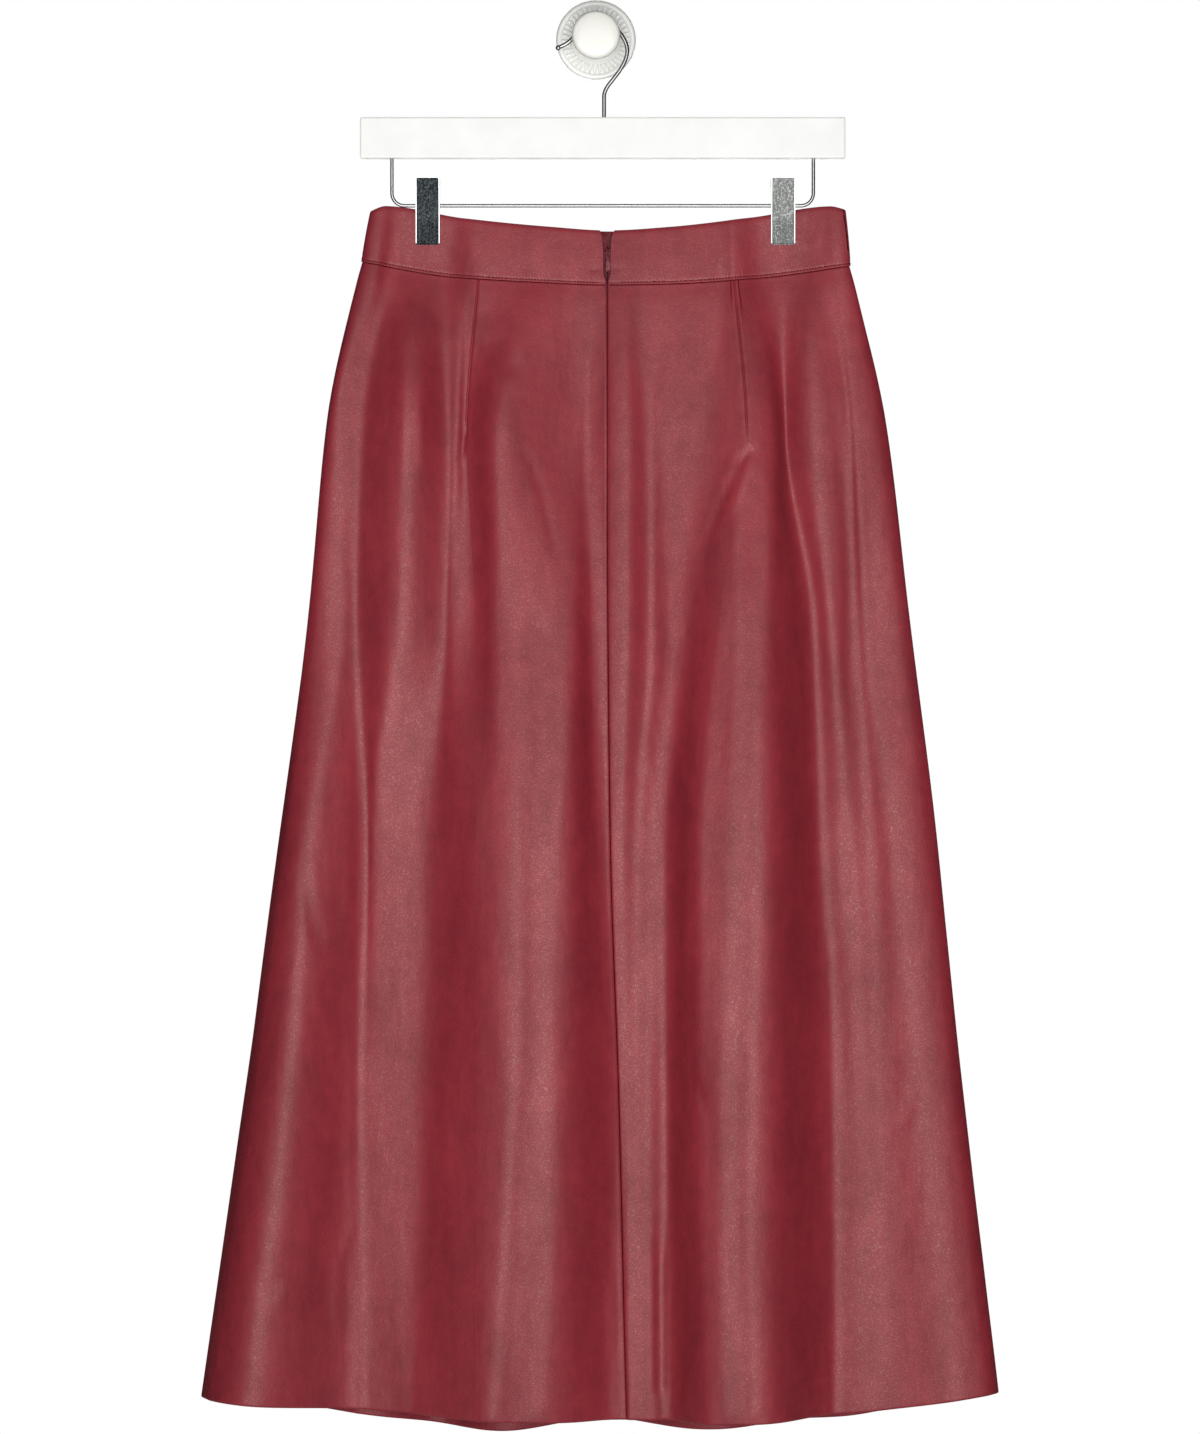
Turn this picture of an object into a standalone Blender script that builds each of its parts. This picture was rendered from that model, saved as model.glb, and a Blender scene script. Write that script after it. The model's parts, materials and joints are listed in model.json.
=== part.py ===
"""A leather skirt held by its waistband on a clip hanger, which hangs from a round wall knob.

Frame: metres, +Z up, +X to the right and +Y into the wall for someone who faces the wall. The
origin is the centre of the knob's rosette where it touches the wall. The back of the skirt faces
that person, so its zip is on the -Y side.

The skirt is a closed tube of cloth. Every level of it is a ring through its fold lines: the FOLDS
tables say, for each fold and each level, how far across it stands and how far out from the middle
of the skirt. The waistband is the same tube carried on above the waist seam. A level is a single
number: -1 is the waistband's top edge, 0 the waist seam and 1 the hem.

Sizes are in millimetres here and become metres where a mesh is made.
"""
import math
from bisect import bisect_right
from typing import NamedTuple

import bmesh
import bpy
from mathutils import Matrix, Vector

MM = 0.001
PART_NAME = "leather_skirt"
GAP = 0.3                        # air between two pieces that are sewn or rest together

# Cloth
CLOTH = 1.4                      # coated leather cloth with its backing
BAND_CLOTH = 2.0                 # waistband, folded and pressed over its interfacing
TAPE_CLOTH = 1.0                 # woven zip tape
HEM_TURN = 28.0                  # hem turned up inside and stitched
COLUMN_STEP = 11.5               # widest spacing of the columns of points round the skirt
ROW_STEP = 51.0                  # spacing of the rows of points down a panel
BAND_LEVELS = (-1.0, -0.9, -0.68, -0.45, -0.22, -0.1)   # rows of the waistband above its seam

# Waistband
BAND_NARROWING = 0.972           # top edge of the waistband against the waist seam, across
BAND_SHIFT = 1.4                 # the top edge sits this far to the right of the seam
BAND_CLOSING = 0.70              # depth at the top edge against the depth at the seam

# Darts and zip
DART_DEPTH = 0.6
DART_HALF_WIDTH = 1.8
DART_END = 0.135                 # level where both darts end
ZIP_END = 0.43                   # level where the zip ends and the plain seam starts
TAPE_TOP = -0.94
TAPE_WIDTH = 11.0                # along the ring, in the units of PLACES
TAPE_FROM_CENTRE = 1.0
SLIDER_LEVEL = -0.56
SLIDER_PLATE = (4.0, 1.2, 8.4)   # across, thick, high: the plate in front of the tapes
SLIDER_NECK = (1.2, 5.0)         # across, high: the wedge between the tapes
SLIDER_BACK = (7.0, 1.4, 8.4)
SLIDER_ROOM = 0.4                # more air in front and behind, as the cloth slopes and curves
BAIL_REACH = 2.3                 # from the slider's plate to the middle of its bail's bar
BAIL_HALF_WIDTH = 1.9
BAIL_WIRE = 0.5
PULL_EYE = (1.4, 0.45)           # radius of the eye's ring and of its wire
PULL_LENGTH = 14.6               # from the bail's bar to the tab's lower tip
PULL_HALF_WIDTH = 2.0
PULL_NECK = 0.75                 # half width of the tab where it leaves the eye
PULL_THICK = 0.9

# Hanger
HANG_DEPTH = 28.0                # from the wall to the plane of the hook, bar and rail
HANGER_CENTRE = 4.8              # the bar's middle, across
BAR_SIZE = (349.0, 12.0, 29.5)
BAR_CENTRE_Z = -73.3
BAR_EDGE = 1.2
RAIL_WIRE = 1.5                  # radius
RAIL_Z = -121.9
RAIL_HALF_WIDTH = 151.7
RAIL_BEND = 9.0
WIRE_IN_BAR = 9.0                # length of each wire's end in its hole
HOLE_CLEARANCE = 0.3
HOOK_WIRE = 1.7                  # radius
HOOK_TIP = 1.3                   # the ball at the hook's end against the wire
HOOK_ROUTE = (                   # across and up, from the bar to the ball at the open end
    (5.8, -46.0), (6.0, -41.5), (8.0, -36.5), (12.6, -30.4), (18.2, -22.8), (21.9, -14.6),
    (22.2, -7.2), (18.6, 0.6), (12.0, 7.4), (3.6, 10.9), (-5.0, 9.9), (-12.0, 4.2), (-17.4, -2.0),
    (-21.6, -5.4), (-25.4, -7.3))
HOOK_STEPS = 2                   # points between two of the route's own

# Clips
CLIP_CENTRES = {"left": -121.1, "right": 134.7}
CLIP_WIDTH = 17.2
CLIP_SHEET = 1.2
CLIP_CORNER = 1.6
CLIP_LEVEL = -0.55               # level of the middle of the jaws' grip
PINCH = BAND_CLOTH + 0.3         # half the thickness of the waistband where a clip holds it
PINCH_MARGIN = 4.0               # the waistband stays flat this far beside the jaws
PINCH_BLEND = 12.0               # and opens again over this distance across
PINCH_FADE = 70.0                # and over this distance below the jaws
SPRING_WIRE = 0.5                # radius
SPRING_COIL = 2.4                # radius of the coil's centre line
SPRING_TURNS = 2.5
SPRING_WIDTH = 5.0
SPRING_ARM = 12.0
SPRING_SIDES = 10                # points in one turn


class JawPoint(NamedTuple):
    """One bend of a jaw's inner face: its height over the rail and its distance from the clip's
    middle plane."""
    up: float
    out: float


JAW_PROFILE = (
    JawPoint(20.4, 8.2), JawPoint(13.0, 6.4), JawPoint(4.0, 4.0), JawPoint(-3.0, 3.5),
    JawPoint(-9.0, 2.7), JawPoint(-13.0, PINCH + GAP), JawPoint(-28.4, PINCH + GAP))

# Wall knob, turned about the axis that stands out from the wall: radius, distance from the wall
ROSETTE_PROFILE = ((0.0, 5.0), (10.0, 5.0), (17.5, 5.6), (25.0, 7.4), (27.4, 7.4), (28.8, 5.8),
                   (28.8, 0.0), (0.0, 0.0))
KNOB_PROFILE = ((0.0, 43.0), (14.6, 42.6), (16.6, 41.4), (17.3, 39.4), (17.3, 35.4), (16.2, 33.6),
                (11.5, 32.6), (9.0, 30.6), (9.0, 8.0), (10.0, 5.3), (0.0, 5.3))
ROSETTE_SIDES = 48
KNOB_SIDES = 32


class Level(NamedTuple):
    """A named height of the skirt, and how far the skirt's middle stands off the wall there."""
    name: str
    down: float
    depth: float


LEVELS = (
    Level("waist seam", 0.00, 28.0), Level("hip", 0.14, 29.5), Level("thigh", 0.30, 32.0),
    Level("knee", 0.50, 34.0), Level("calf", 0.72, 37.0), Level("hem", 1.00, 40.0))


class Fold(NamedTuple):
    """A line that runs down the cloth: its place across at each level, and how far it stands out
    from the skirt's middle at each level. Folds of the front panel stand towards the wall."""
    name: str
    across: tuple
    out: tuple


SIDE_LEFT = Fold("side left", (-169.0, -193.4, -205.5, -226.9, -250.4, -283.2), (4, 5, 5, 5, 5, 5))
SIDE_RIGHT = Fold("side right", (183.5, 208.5, 224.2, 244.2, 262.7, 289.0), (4, 5, 5, 5, 5, 5))
CENTRE_BACK = Fold("centre back", (7.9, 7.6, 8.3, 10.4, 16.5, 21.5), (8, 14, 16, 15, 13, 11))

BACK_LEFT = (
    Fold("side crest", (-158, -185, -185, -205, -220, -246), (9, 14, 13, 27, 37, 45)),
    Fold("slope foot", (-146, -165, -169, -166, -172, -173), (6, 12, 10, 9, 9, 8.5)),
    Fold("panel crest", (-132, -136, -142, -158, -156, -143), (8, 28, 26, 12, 11, 14)),
    Fold("clip valley", (-109, -107, -110, -119, -121, -127), (6, 12, 15, 15, 16, 18)),
    Fold("narrow ridge", (-98, -100, -103, -102, -105, -108), (8.5, 15, 17, 26, 27, 30)),
    Fold("dart left", (-84.8, -93, -87, -86, -85, -86), (8, 11, 20, 36, 40, 43)),
    Fold("broad crest", (-47, -71, -70, -63, -64, -73), (9, 28, 31, 43, 47, 45)),
    Fold("broad crest end", (-10, -15, -17, -17, -19, -21), (8.5, 13, 29, 38, 41, 36)),
    Fold("seam hollow", (0, -4, -3, 1, 8, 11), (8, 11, 19, 19, 17, 9)))

BACK_RIGHT = (
    Fold("seam crest", (17, 21, 21, 17, 23, 28), (9, 22, 25, 20, 18, 16)),
    Fold("seam valley", (30, 36, 37, 28, 30, 35), (8, 11, 11, 14, 13, 9)),
    Fold("soft crest", (54, 48, 48, 36, 37, 42), (9, 16, 19, 17, 18, 15)),
    Fold("deep valley", (88, 71, 56, 43, 44, 49), (7, 11, 13, 13, 11, 9)),
    Fold("dart right", (99.5, 108, 96, 89, 83, 87), (8.5, 24, 33, 47, 47, 46)),
    Fold("main crest", (109, 130, 119, 115, 112, 113), (8, 15, 35, 47, 48, 47)),
    Fold("clip valley", (136, 138, 148, 162, 174, 178), (4, 6, 12, 10, 3, 3)),
    Fold("side plateau", (152, 153, 156, 176, 191, 196), (8, 21, 20, 18, 14, 14)),
    Fold("side valley", (165, 180, 186, 196, 206, 216), (7, 12, 12, 14, 13, 12)),
    Fold("side crest", (174, 187, 195, 213, 231, 253), (8, 14, 13, 17, 19, 24)))

FRONT = (
    Fold("side crest right", (166, 178, 188, 202, 217, 236), (-8, -13, -16, -19, -22, -26)),
    Fold("clip valley right", (136, 140, 147, 158, 168, 183), (-4, -7, -10, -11, -12, -12)),
    Fold("main crest right", (104, 103, 105, 112, 124, 140), (-8, -15, -20, -24, -30, -34)),
    Fold("inner valley right", (56, 56, 60, 70, 79, 90), (-8, -12, -13, -12, -11, -11)),
    Fold("middle crest", (3, 3, 6, 10, 12, 14), (-8.5, -15, -19, -24, -29, -35)),
    Fold("inner valley left", (-44, -46, -50, -56, -61, -67), (-8, -12, -13, -12, -11, -11)),
    Fold("main crest left", (-82, -80, -83, -92, -102, -112), (-8, -15, -20, -24, -29, -34)),
    Fold("clip valley left", (-121, -125, -131, -141, -152, -163), (-4, -7, -10, -11, -12, -12)),
    Fold("side crest left", (-152, -164, -173, -186, -198, -214), (-8, -15.5, -19, -21, -24, -28)))

# Round the skirt as seen from above: down the back from left to right, then home along the front
FOLDS = (SIDE_LEFT, *BACK_LEFT, CENTRE_BACK, *BACK_RIGHT, SIDE_RIGHT, *FRONT)
SIDE_ROUNDNESS = 2.2             # how briskly the cloth turns round at a side seam
SIDE_FOLDS = (FOLDS.index(SIDE_LEFT), FOLDS.index(SIDE_RIGHT))


class EdgeLine(NamedTuple):
    """Heights of an edge or seam at stations from the left side (-1) to the right side (1)."""
    stations: tuple
    heights: tuple


TOP_EDGE = EdgeLine(
    (-1.0, -0.93, -0.6, -0.25, 0.0, 0.25, 0.6, 0.93, 1.0),
    (-126.0, -122.4, -131.3, -137.3, -140.0, -137.6, -130.6, -122.6, -125.0))
WAIST_SEAM = EdgeLine(
    (-1.0, -0.6, -0.25, 0.0, 0.25, 0.6, 1.0),
    (-162.8, -174.0, -177.8, -179.4, -178.8, -174.7, -165.7))
BACK_HEM = EdgeLine(
    (-1.0, -0.6, -0.25, 0.0, 0.25, 0.6, 1.0),
    (-977.7, -986.0, -991.8, -993.3, -993.7, -990.0, -974.8))
FRONT_HEM = EdgeLine(
    (-1.0, -0.6, -0.25, 0.0, 0.25, 0.6, 1.0),
    (-977.7, -992.0, -1004.0, -997.0, -1003.0, -994.0, -974.8))


class Notch(NamedTuple):
    """Half the air between the waistband's ends at the centre back, at levels from the top down."""
    levels: tuple
    half_widths: tuple


NOTCH = Notch(
    (-1.0, -0.9, -0.68, -0.45, -0.22, -0.1, 0.0),
    (4.4, 3.0, 2.6, 2.5, 2.4, 0.9, GAP / 2.0))


class Finish(NamedTuple):
    """A plain colour, roughness and metallic value for one kind of material."""
    colour: tuple
    roughness: float
    metallic: float


FINISHES = {
    "leather": Finish((0.27, 0.064, 0.075), 0.42, 0.0),
    "zip_tape": Finish((0.060, 0.008, 0.012), 0.85, 0.0),
    "zip_metal": Finish((0.34, 0.10, 0.10), 0.35, 0.6),
    "white_bar": Finish((0.90, 0.91, 0.88), 0.35, 0.0),
    "chrome": Finish((0.62, 0.63, 0.64), 0.16, 1.0),
    "white_paint": Finish((0.88, 0.87, 0.84), 0.40, 0.0),
}


# ---------------------------------------------------------------- smooth lines through few points

def slopes_through(places, values):
    """Slope at each value, level at every crest and hollow, so that the line never overshoots."""
    steps = [(values[i + 1] - values[i]) / (places[i + 1] - places[i])
             for i in range(len(values) - 1)]
    inner = [2.0 * a * b / (a + b) if a * b > 0.0 else 0.0 for a, b in zip(steps, steps[1:])]
    return [steps[0], *inner, steps[-1]]


def value_at(places, values, slopes, place):
    """Value of the smooth line at a place."""
    i = min(max(bisect_right(places, place) - 1, 0), len(places) - 2)
    step = places[i + 1] - places[i]
    u = (place - places[i]) / step
    return ((1.0 + 2.0 * u) * (1.0 - u) ** 2 * values[i] + u * (1.0 - u) ** 2 * step * slopes[i]
            + u * u * (3.0 - 2.0 * u) * values[i + 1] - u * u * (1.0 - u) * step * slopes[i + 1])


def smooth_value(places, values, place):
    """Value at a place of the smooth line through a short table."""
    return value_at(places, values, slopes_through(places, values), place)


def soft_step(u):
    """0 up to 0 and 1 from 1 on, with a soft rise between."""
    u = min(max(u, 0.0), 1.0)
    return u * u * (3.0 - 2.0 * u)


# ---------------------------------------------------------------- the skirt's form

LEVEL_DOWNS = tuple(level.down for level in LEVELS)
LEVEL_DEPTHS = tuple(level.depth for level in LEVELS)


def places_round_skirt():
    """Place of each fold round the skirt: the distance along the rings, averaged over the levels."""
    places = [0.0]
    following = FOLDS[1:] + FOLDS[:1]
    for fold, after in zip(FOLDS, following):
        chords = [math.hypot(after.across[i] - fold.across[i], after.out[i] - fold.out[i])
                  for i in range(len(LEVELS))]
        places.append(places[-1] + sum(chords) / len(chords))
    return places


PLACES = places_round_skirt()
GIRTH = PLACES[-1]
FOLD_PLACE = dict(zip((fold.name for fold in FOLDS), PLACES))
CENTRE = FOLD_PLACE["centre back"]
RIGHT = FOLD_PLACE["side right"]


class Ring:
    """The closed line of the skirt's outer face at one level."""

    def __init__(self, level):
        self.level = level
        self.down = max(level, 0.0)
        self.rise = max(-level, 0.0)
        across = [smooth_value(LEVEL_DOWNS, fold.across, self.down) for fold in FOLDS]
        out = [smooth_value(LEVEL_DOWNS, fold.out, self.down) for fold in FOLDS]
        middle = (across[SIDE_FOLDS[0]] + across[SIDE_FOLDS[1]]) / 2.0
        narrowing = 1.0 - (1.0 - BAND_NARROWING) * self.rise
        across = [middle + (x - middle) * narrowing + BAND_SHIFT * self.rise for x in across]
        out = [d * (1.0 - (1.0 - BAND_CLOSING) * self.rise) for d in out]
        self.left, self.right = (across[i] for i in SIDE_FOLDS)
        self.depth = smooth_value(LEVEL_DOWNS, LEVEL_DEPTHS, self.down)
        # Two folds are repeated at each end, so that the ring closes smoothly
        self.places = [PLACES[-3] - GIRTH, PLACES[-2] - GIRTH, *PLACES, PLACES[1] + GIRTH]
        self.across = [across[-2], across[-1], *across, across[0], across[1]]
        self.out = [out[-2], out[-1], *out, out[0], out[1]]
        self.across_slopes = slopes_through(self.places, self.across)
        self.out_slopes = slopes_through(self.places, self.out)
        for i, place in enumerate(self.places):
            if place in (0.0, RIGHT, GIRTH):
                steps = ((self.out[i] - self.out[i - 1]) / (place - self.places[i - 1]),
                         (self.out[i + 1] - self.out[i]) / (self.places[i + 1] - place))
                self.out_slopes[i] = SIDE_ROUNDNESS * sum(steps) / 2.0

    def height(self, place, x):
        """Height of the cloth, which follows the top edge, the waist seam and the hem."""
        station = 2.0 * (x - self.left) / (self.right - self.left) - 1.0
        seam = smooth_value(*WAIST_SEAM, station)
        if self.rise:
            return seam + (smooth_value(*TOP_EDGE, station) - seam) * self.rise
        hem = smooth_value(*(BACK_HEM if place < RIGHT else FRONT_HEM), station)
        return seam + (hem - seam) * self.down

    def point(self, place):
        """Point of the outer face at a place round the skirt, as (x, y, z)."""
        place = place % GIRTH
        x = value_at(self.places, self.across, self.across_slopes, place)
        out = value_at(self.places, self.out, self.out_slopes, place)
        z = self.height(place, x)
        return x, -(self.depth + pinched(x, z, out)), z

    def frame(self, place):
        """Point, unit direction along the ring, and how much length one unit of place covers."""
        half_step = 0.25
        before = self.point(place - half_step)
        after = self.point(place + half_step)
        dx, dy = after[0] - before[0], after[1] - before[1]
        length = math.hypot(dx, dy)
        return self.point(place), (dx / length, dy / length), length / (2.0 * half_step)

    def inside(self, place, inset):
        """Point that lies under the outer face by inset, measured square to the cloth."""
        (x, y, z), (tx, ty), _ = self.frame(place)
        return x - ty * inset, y + tx * inset, z

    def beside(self, place, distance):
        """Place that lies a real distance further along the cloth."""
        return place + distance / self.frame(place)[2]


def pinched(x, z, out):
    """How far out the cloth stands, once the clips have pressed the waistband flat."""
    jaw_end = RAIL_Z + JAW_PROFILE[-1].up
    below = soft_step((jaw_end - z) / PINCH_FADE)
    for centre in CLIP_CENTRES.values():
        aside = soft_step((abs(x - centre) - CLIP_WIDTH / 2.0 - PINCH_MARGIN) / PINCH_BLEND)
        free = 1.0 - (1.0 - aside) * (1.0 - below)
        if abs(out) > PINCH:
            out = math.copysign(PINCH + (abs(out) - PINCH) * free, out)
    return out


def place_across(x, first, last):
    """Place between two seams where the middle of the waistband passes a distance across."""
    ring = Ring(CLIP_LEVEL)
    rising = ring.point(first)[0] < ring.point(last)[0]
    for _ in range(24):
        middle = (first + last) / 2.0
        if (ring.point(middle)[0] < x) == rising:
            first = middle
        else:
            last = middle
    return middle


def clip_edges(first, last):
    """Places beside the clips' jaws where the waistband starts to open again."""
    back = (0.0, RIGHT) if last <= RIGHT else (RIGHT, GIRTH)
    aside = CLIP_WIDTH / 2.0 + PINCH_MARGIN * 0.6
    places = [place_across(centre + side * aside, *back)
              for centre in CLIP_CENTRES.values() for side in (-1, 1)]
    return [place for place in places if first < place < last]


def columns_between(first, last, extra=()):
    """Places of the columns of a piece: one at each fold, and more between them as needed."""
    folds = [place for place in PLACES if first < place < last]
    edges = clip_edges(first, last)
    folds = [place for place in folds if all(abs(place - edge) > 3.0 for edge in edges)]
    marks = sorted([first, *folds, *edges, last])
    columns = [first]
    for start, end in zip(marks, marks[1:]):
        count = max(1, math.ceil((end - start) / COLUMN_STEP))
        columns += [start + (end - start) * (i + 1) / count for i in range(count)]
    beside_darts = [place + side for place in extra for side in (-DART_HALF_WIDTH, DART_HALF_WIDTH)]
    kept = [c for c in columns if all(abs(c - b) > DART_HALF_WIDTH * 0.6 for b in beside_darts)]
    return sorted(kept + beside_darts)


def panel_levels():
    """Levels of a panel's rows: even steps, the darts' end and the step where the hem starts."""
    length = WAIST_SEAM.heights[3] - BACK_HEM.heights[3]
    count = round(length / ROW_STEP)
    turn = 1.0 - HEM_TURN / length
    even = [i / count for i in range(1, count) if abs(i / count - turn) > 0.02]
    even = [level for level in even if abs(level - DART_END) > 0.02]
    return sorted([GAP / 2.0 / length, *even, DART_END, turn, turn + 0.002, 1.0]), turn


# ---------------------------------------------------------------- mesh helpers

def add_object(name, mesh, finish, collection):
    """Link a mesh as a named object with its own material."""
    look = FINISHES[finish]
    material = bpy.data.materials.new(name + "_finish")
    material.use_nodes = True
    shader = material.node_tree.nodes["Principled BSDF"]
    shader.inputs["Base Color"].default_value = (*look.colour, 1.0)
    shader.inputs["Roughness"].default_value = look.roughness
    shader.inputs["Metallic"].default_value = look.metallic
    mesh.materials.append(material)
    obj = bpy.data.objects.new(name, mesh)
    collection.objects.link(obj)
    return obj


def mesh_from_bmesh(name, bm, smooth_angle=40.0):
    """Turn a bmesh into a mesh, shaded smooth but for its real edges."""
    bmesh.ops.recalc_face_normals(bm, faces=bm.faces)
    mesh = bpy.data.meshes.new(name)
    bm.to_mesh(mesh)
    bm.free()
    mesh.shade_smooth()
    mesh.set_sharp_from_angle(angle=math.radians(smooth_angle))
    return mesh


def cloth_wall(name, outer, inner, finish, collection):
    """Closed wall of cloth between two grids of points, given as rows from top to bottom."""
    bm = bmesh.new()
    rows, columns = len(outer), len(outer[0])
    faces_of = {}
    for side, grid in (("outer", outer), ("inner", inner)):
        faces_of[side] = [[bm.verts.new(Vector(p) * MM) for p in row] for row in grid]
    out, ins = faces_of["outer"], faces_of["inner"]
    for r in range(rows - 1):
        for c in range(columns - 1):
            bm.faces.new((out[r][c], out[r + 1][c], out[r + 1][c + 1], out[r][c + 1]))
            bm.faces.new((ins[r][c], ins[r][c + 1], ins[r + 1][c + 1], ins[r + 1][c]))
    for c in range(columns - 1):
        bm.faces.new((out[0][c], out[0][c + 1], ins[0][c + 1], ins[0][c]))
        bm.faces.new((out[-1][c], ins[-1][c], ins[-1][c + 1], out[-1][c + 1]))
    for r in range(rows - 1):
        bm.faces.new((out[r][0], ins[r][0], ins[r + 1][0], out[r + 1][0]))
        bm.faces.new((out[r][-1], out[r + 1][-1], ins[r + 1][-1], ins[r][-1]))
    return add_object(name, mesh_from_bmesh(name, bm), finish, collection)


def box(name, size, centre, edge, segments=2):
    """Mesh of a box with rounded edges, at its place."""
    bm = bmesh.new()
    bmesh.ops.create_cube(bm, size=1.0, matrix=Matrix.Translation(Vector(centre) * MM)
                          @ Matrix.Diagonal((*(Vector(size) * MM), 1.0)))
    if edge:
        bmesh.ops.bevel(bm, geom=bm.edges[:], offset=edge * MM, segments=segments, profile=0.6,
                        affect="EDGES")
    return mesh_from_bmesh(name, bm)


def wire(name, route, radius, finish, collection, widths=None, resolution=2, closed=False):
    """Round wire along a route of points, with filled ends, as a mesh object."""
    curve = bpy.data.curves.new(name + "_route", "CURVE")
    curve.dimensions = "3D"
    curve.bevel_depth = radius * MM
    curve.bevel_resolution = resolution
    curve.use_fill_caps = not closed
    spline = curve.splines.new("POLY")
    spline.points.add(len(route) - 1)
    for i, place in enumerate(route):
        spline.points[i].co = (*(Vector(place) * MM), 1.0)
        spline.points[i].radius = widths[i] if widths else 1.0
    spline.use_cyclic_u = closed
    guide = bpy.data.objects.new(name + "_route", curve)
    collection.objects.link(guide)
    depsgraph = bpy.context.evaluated_depsgraph_get()
    mesh = bpy.data.meshes.new_from_object(guide.evaluated_get(depsgraph))
    bpy.data.objects.remove(guide)
    bm = bmesh.new()
    bm.from_mesh(mesh)
    bpy.data.meshes.remove(mesh)
    bmesh.ops.remove_doubles(bm, verts=bm.verts, dist=0.005 * MM)
    return add_object(name, mesh_from_bmesh(name, bm), finish, collection)


def smooth_route(points, steps):
    """Points of a smooth curve through a route's own points, steps of them for each stretch."""
    padded = [Vector(points[0]) * 2 - Vector(points[1]), *map(Vector, points),
              Vector(points[-1]) * 2 - Vector(points[-2])]
    route = []
    for a, b, c, d in zip(padded, padded[1:], padded[2:], padded[3:]):
        for i in range(steps):
            u = i / steps
            route.append(0.5 * (2 * b + (c - a) * u + (2 * a - 5 * b + 4 * c - d) * u ** 2
                                + (3 * b - a - 3 * c + d) * u ** 3))
    return [*route, Vector(points[-1])]


def union(target, tool_mesh, cutters):
    """Join a second shape to an object, so that both are one body."""
    combine(target, tool_mesh, cutters, "UNION")


def combine(target, tool_mesh, cutters, operation):
    """Add a Boolean with a hidden helper object."""
    tool = bpy.data.objects.new(f"{target.name}_{operation.lower()}_{len(target.modifiers)}",
                                tool_mesh)
    cutters.objects.link(tool)
    tool.hide_render = True
    tool.display_type = "WIRE"
    boolean = target.modifiers.new(operation.title(), "BOOLEAN")
    boolean.operation = operation
    boolean.solver = "EXACT"
    boolean.object = tool


def hanging(x, depth, z):
    """Point given by its distance out from the wall."""
    return x, -depth, z


# ---------------------------------------------------------------- the skirt's pieces

def panel(name, first, last, darts, collection):
    """One cut piece of the skirt between two seams, with its darts pressed in and hem turned up."""
    columns = columns_between(first, last, darts)
    levels, turn = panel_levels()
    outer, inner = [], []
    for level in levels:
        ring = Ring(level)
        places = [ring.beside(first, GAP / 2.0), *columns[1:-1], ring.beside(last, -GAP / 2.0)]
        pressed = DART_DEPTH * soft_step((DART_END - level) / 0.03)
        thick = CLOTH * (2.0 if level > turn + 0.001 else 1.0)
        outer.append([ring.inside(place, pressed if column in darts else 0.0)
                      for place, column in zip(places, columns)])
        inner.append([ring.inside(place, thick) for place in places])
    return cloth_wall(name, outer, inner, "leather", collection)


def waistband(name, first, last, collection):
    """One piece of the waistband between two seams; its ends part at the top of the zip."""
    columns = columns_between(first, last)
    seam_height = TOP_EDGE.heights[4] - WAIST_SEAM.heights[3]
    lowest = -GAP / 2.0 / seam_height
    outer, inner = [], []
    for level in (*BAND_LEVELS, lowest):
        ring = Ring(level)
        notch = smooth_value(NOTCH.levels, NOTCH.half_widths, level)
        first_gap = notch if first == CENTRE else GAP / 2.0
        last_gap = notch if last == CENTRE else GAP / 2.0
        places = [ring.beside(first, first_gap), *columns[1:-1], ring.beside(last, -last_gap)]
        outer.append([ring.point(place) for place in places])
        inner.append([ring.inside(place, BAND_CLOTH) for place in places])
    return cloth_wall(name, outer, inner, "leather", collection)


def on_chord(ring, columns, place, inset):
    """Point under the flat facet between the two columns on either side of a place."""
    i = min(max(bisect_right(columns, place) - 1, 0), len(columns) - 2)
    share = (place - columns[i]) / (columns[i + 1] - columns[i])
    start, end = (Vector(ring.inside(column, inset)) for column in columns[i:i + 2])
    return start.lerp(end, share)


def zip_tape(name, side, collection):
    """Woven tape behind one edge of the back opening, from the waistband's top to the zip's end.

    It has the panel's own rows and columns, so that it lies flat under the panel's facets."""
    under_band, under_panel = BAND_CLOTH + GAP, CLOTH + GAP
    columns = columns_between(*((0.0, CENTRE) if side < 0 else (CENTRE, RIGHT)))
    edge = CENTRE + side * TAPE_WIDTH
    covered = [column for column in columns if 0.0 < side * (column - CENTRE) < TAPE_WIDTH - 1.0]
    panel_rows, _ = panel_levels()
    levels = [TAPE_TOP, -0.2, 0.004, *(level for level in panel_rows if 0.01 < level <= ZIP_END)]
    outer, inner = [], []
    for level in levels:
        ring = Ring(level)
        inset = under_panel if level > 0.01 else under_band
        places = sorted([ring.beside(CENTRE, side * TAPE_FROM_CENTRE), *covered, edge])
        outer.append([on_chord(ring, columns, place, inset) for place in places])
        inner.append([on_chord(ring, columns, place, inset + TAPE_CLOTH) for place in places])
    return cloth_wall(name, outer, inner, "zip_tape", collection)


def slider_places():
    """Where the slider sits: its middle across, its height, and the depth of its three layers."""
    ring = Ring(SLIDER_LEVEL)
    x, y, z = ring.point(CENTRE)
    tape_front = -y - BAND_CLOTH - GAP
    plate_back = tape_front + GAP + SLIDER_ROOM
    back_front = tape_front - TAPE_CLOTH - GAP - SLIDER_ROOM
    return x, z, plate_back, back_front


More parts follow.
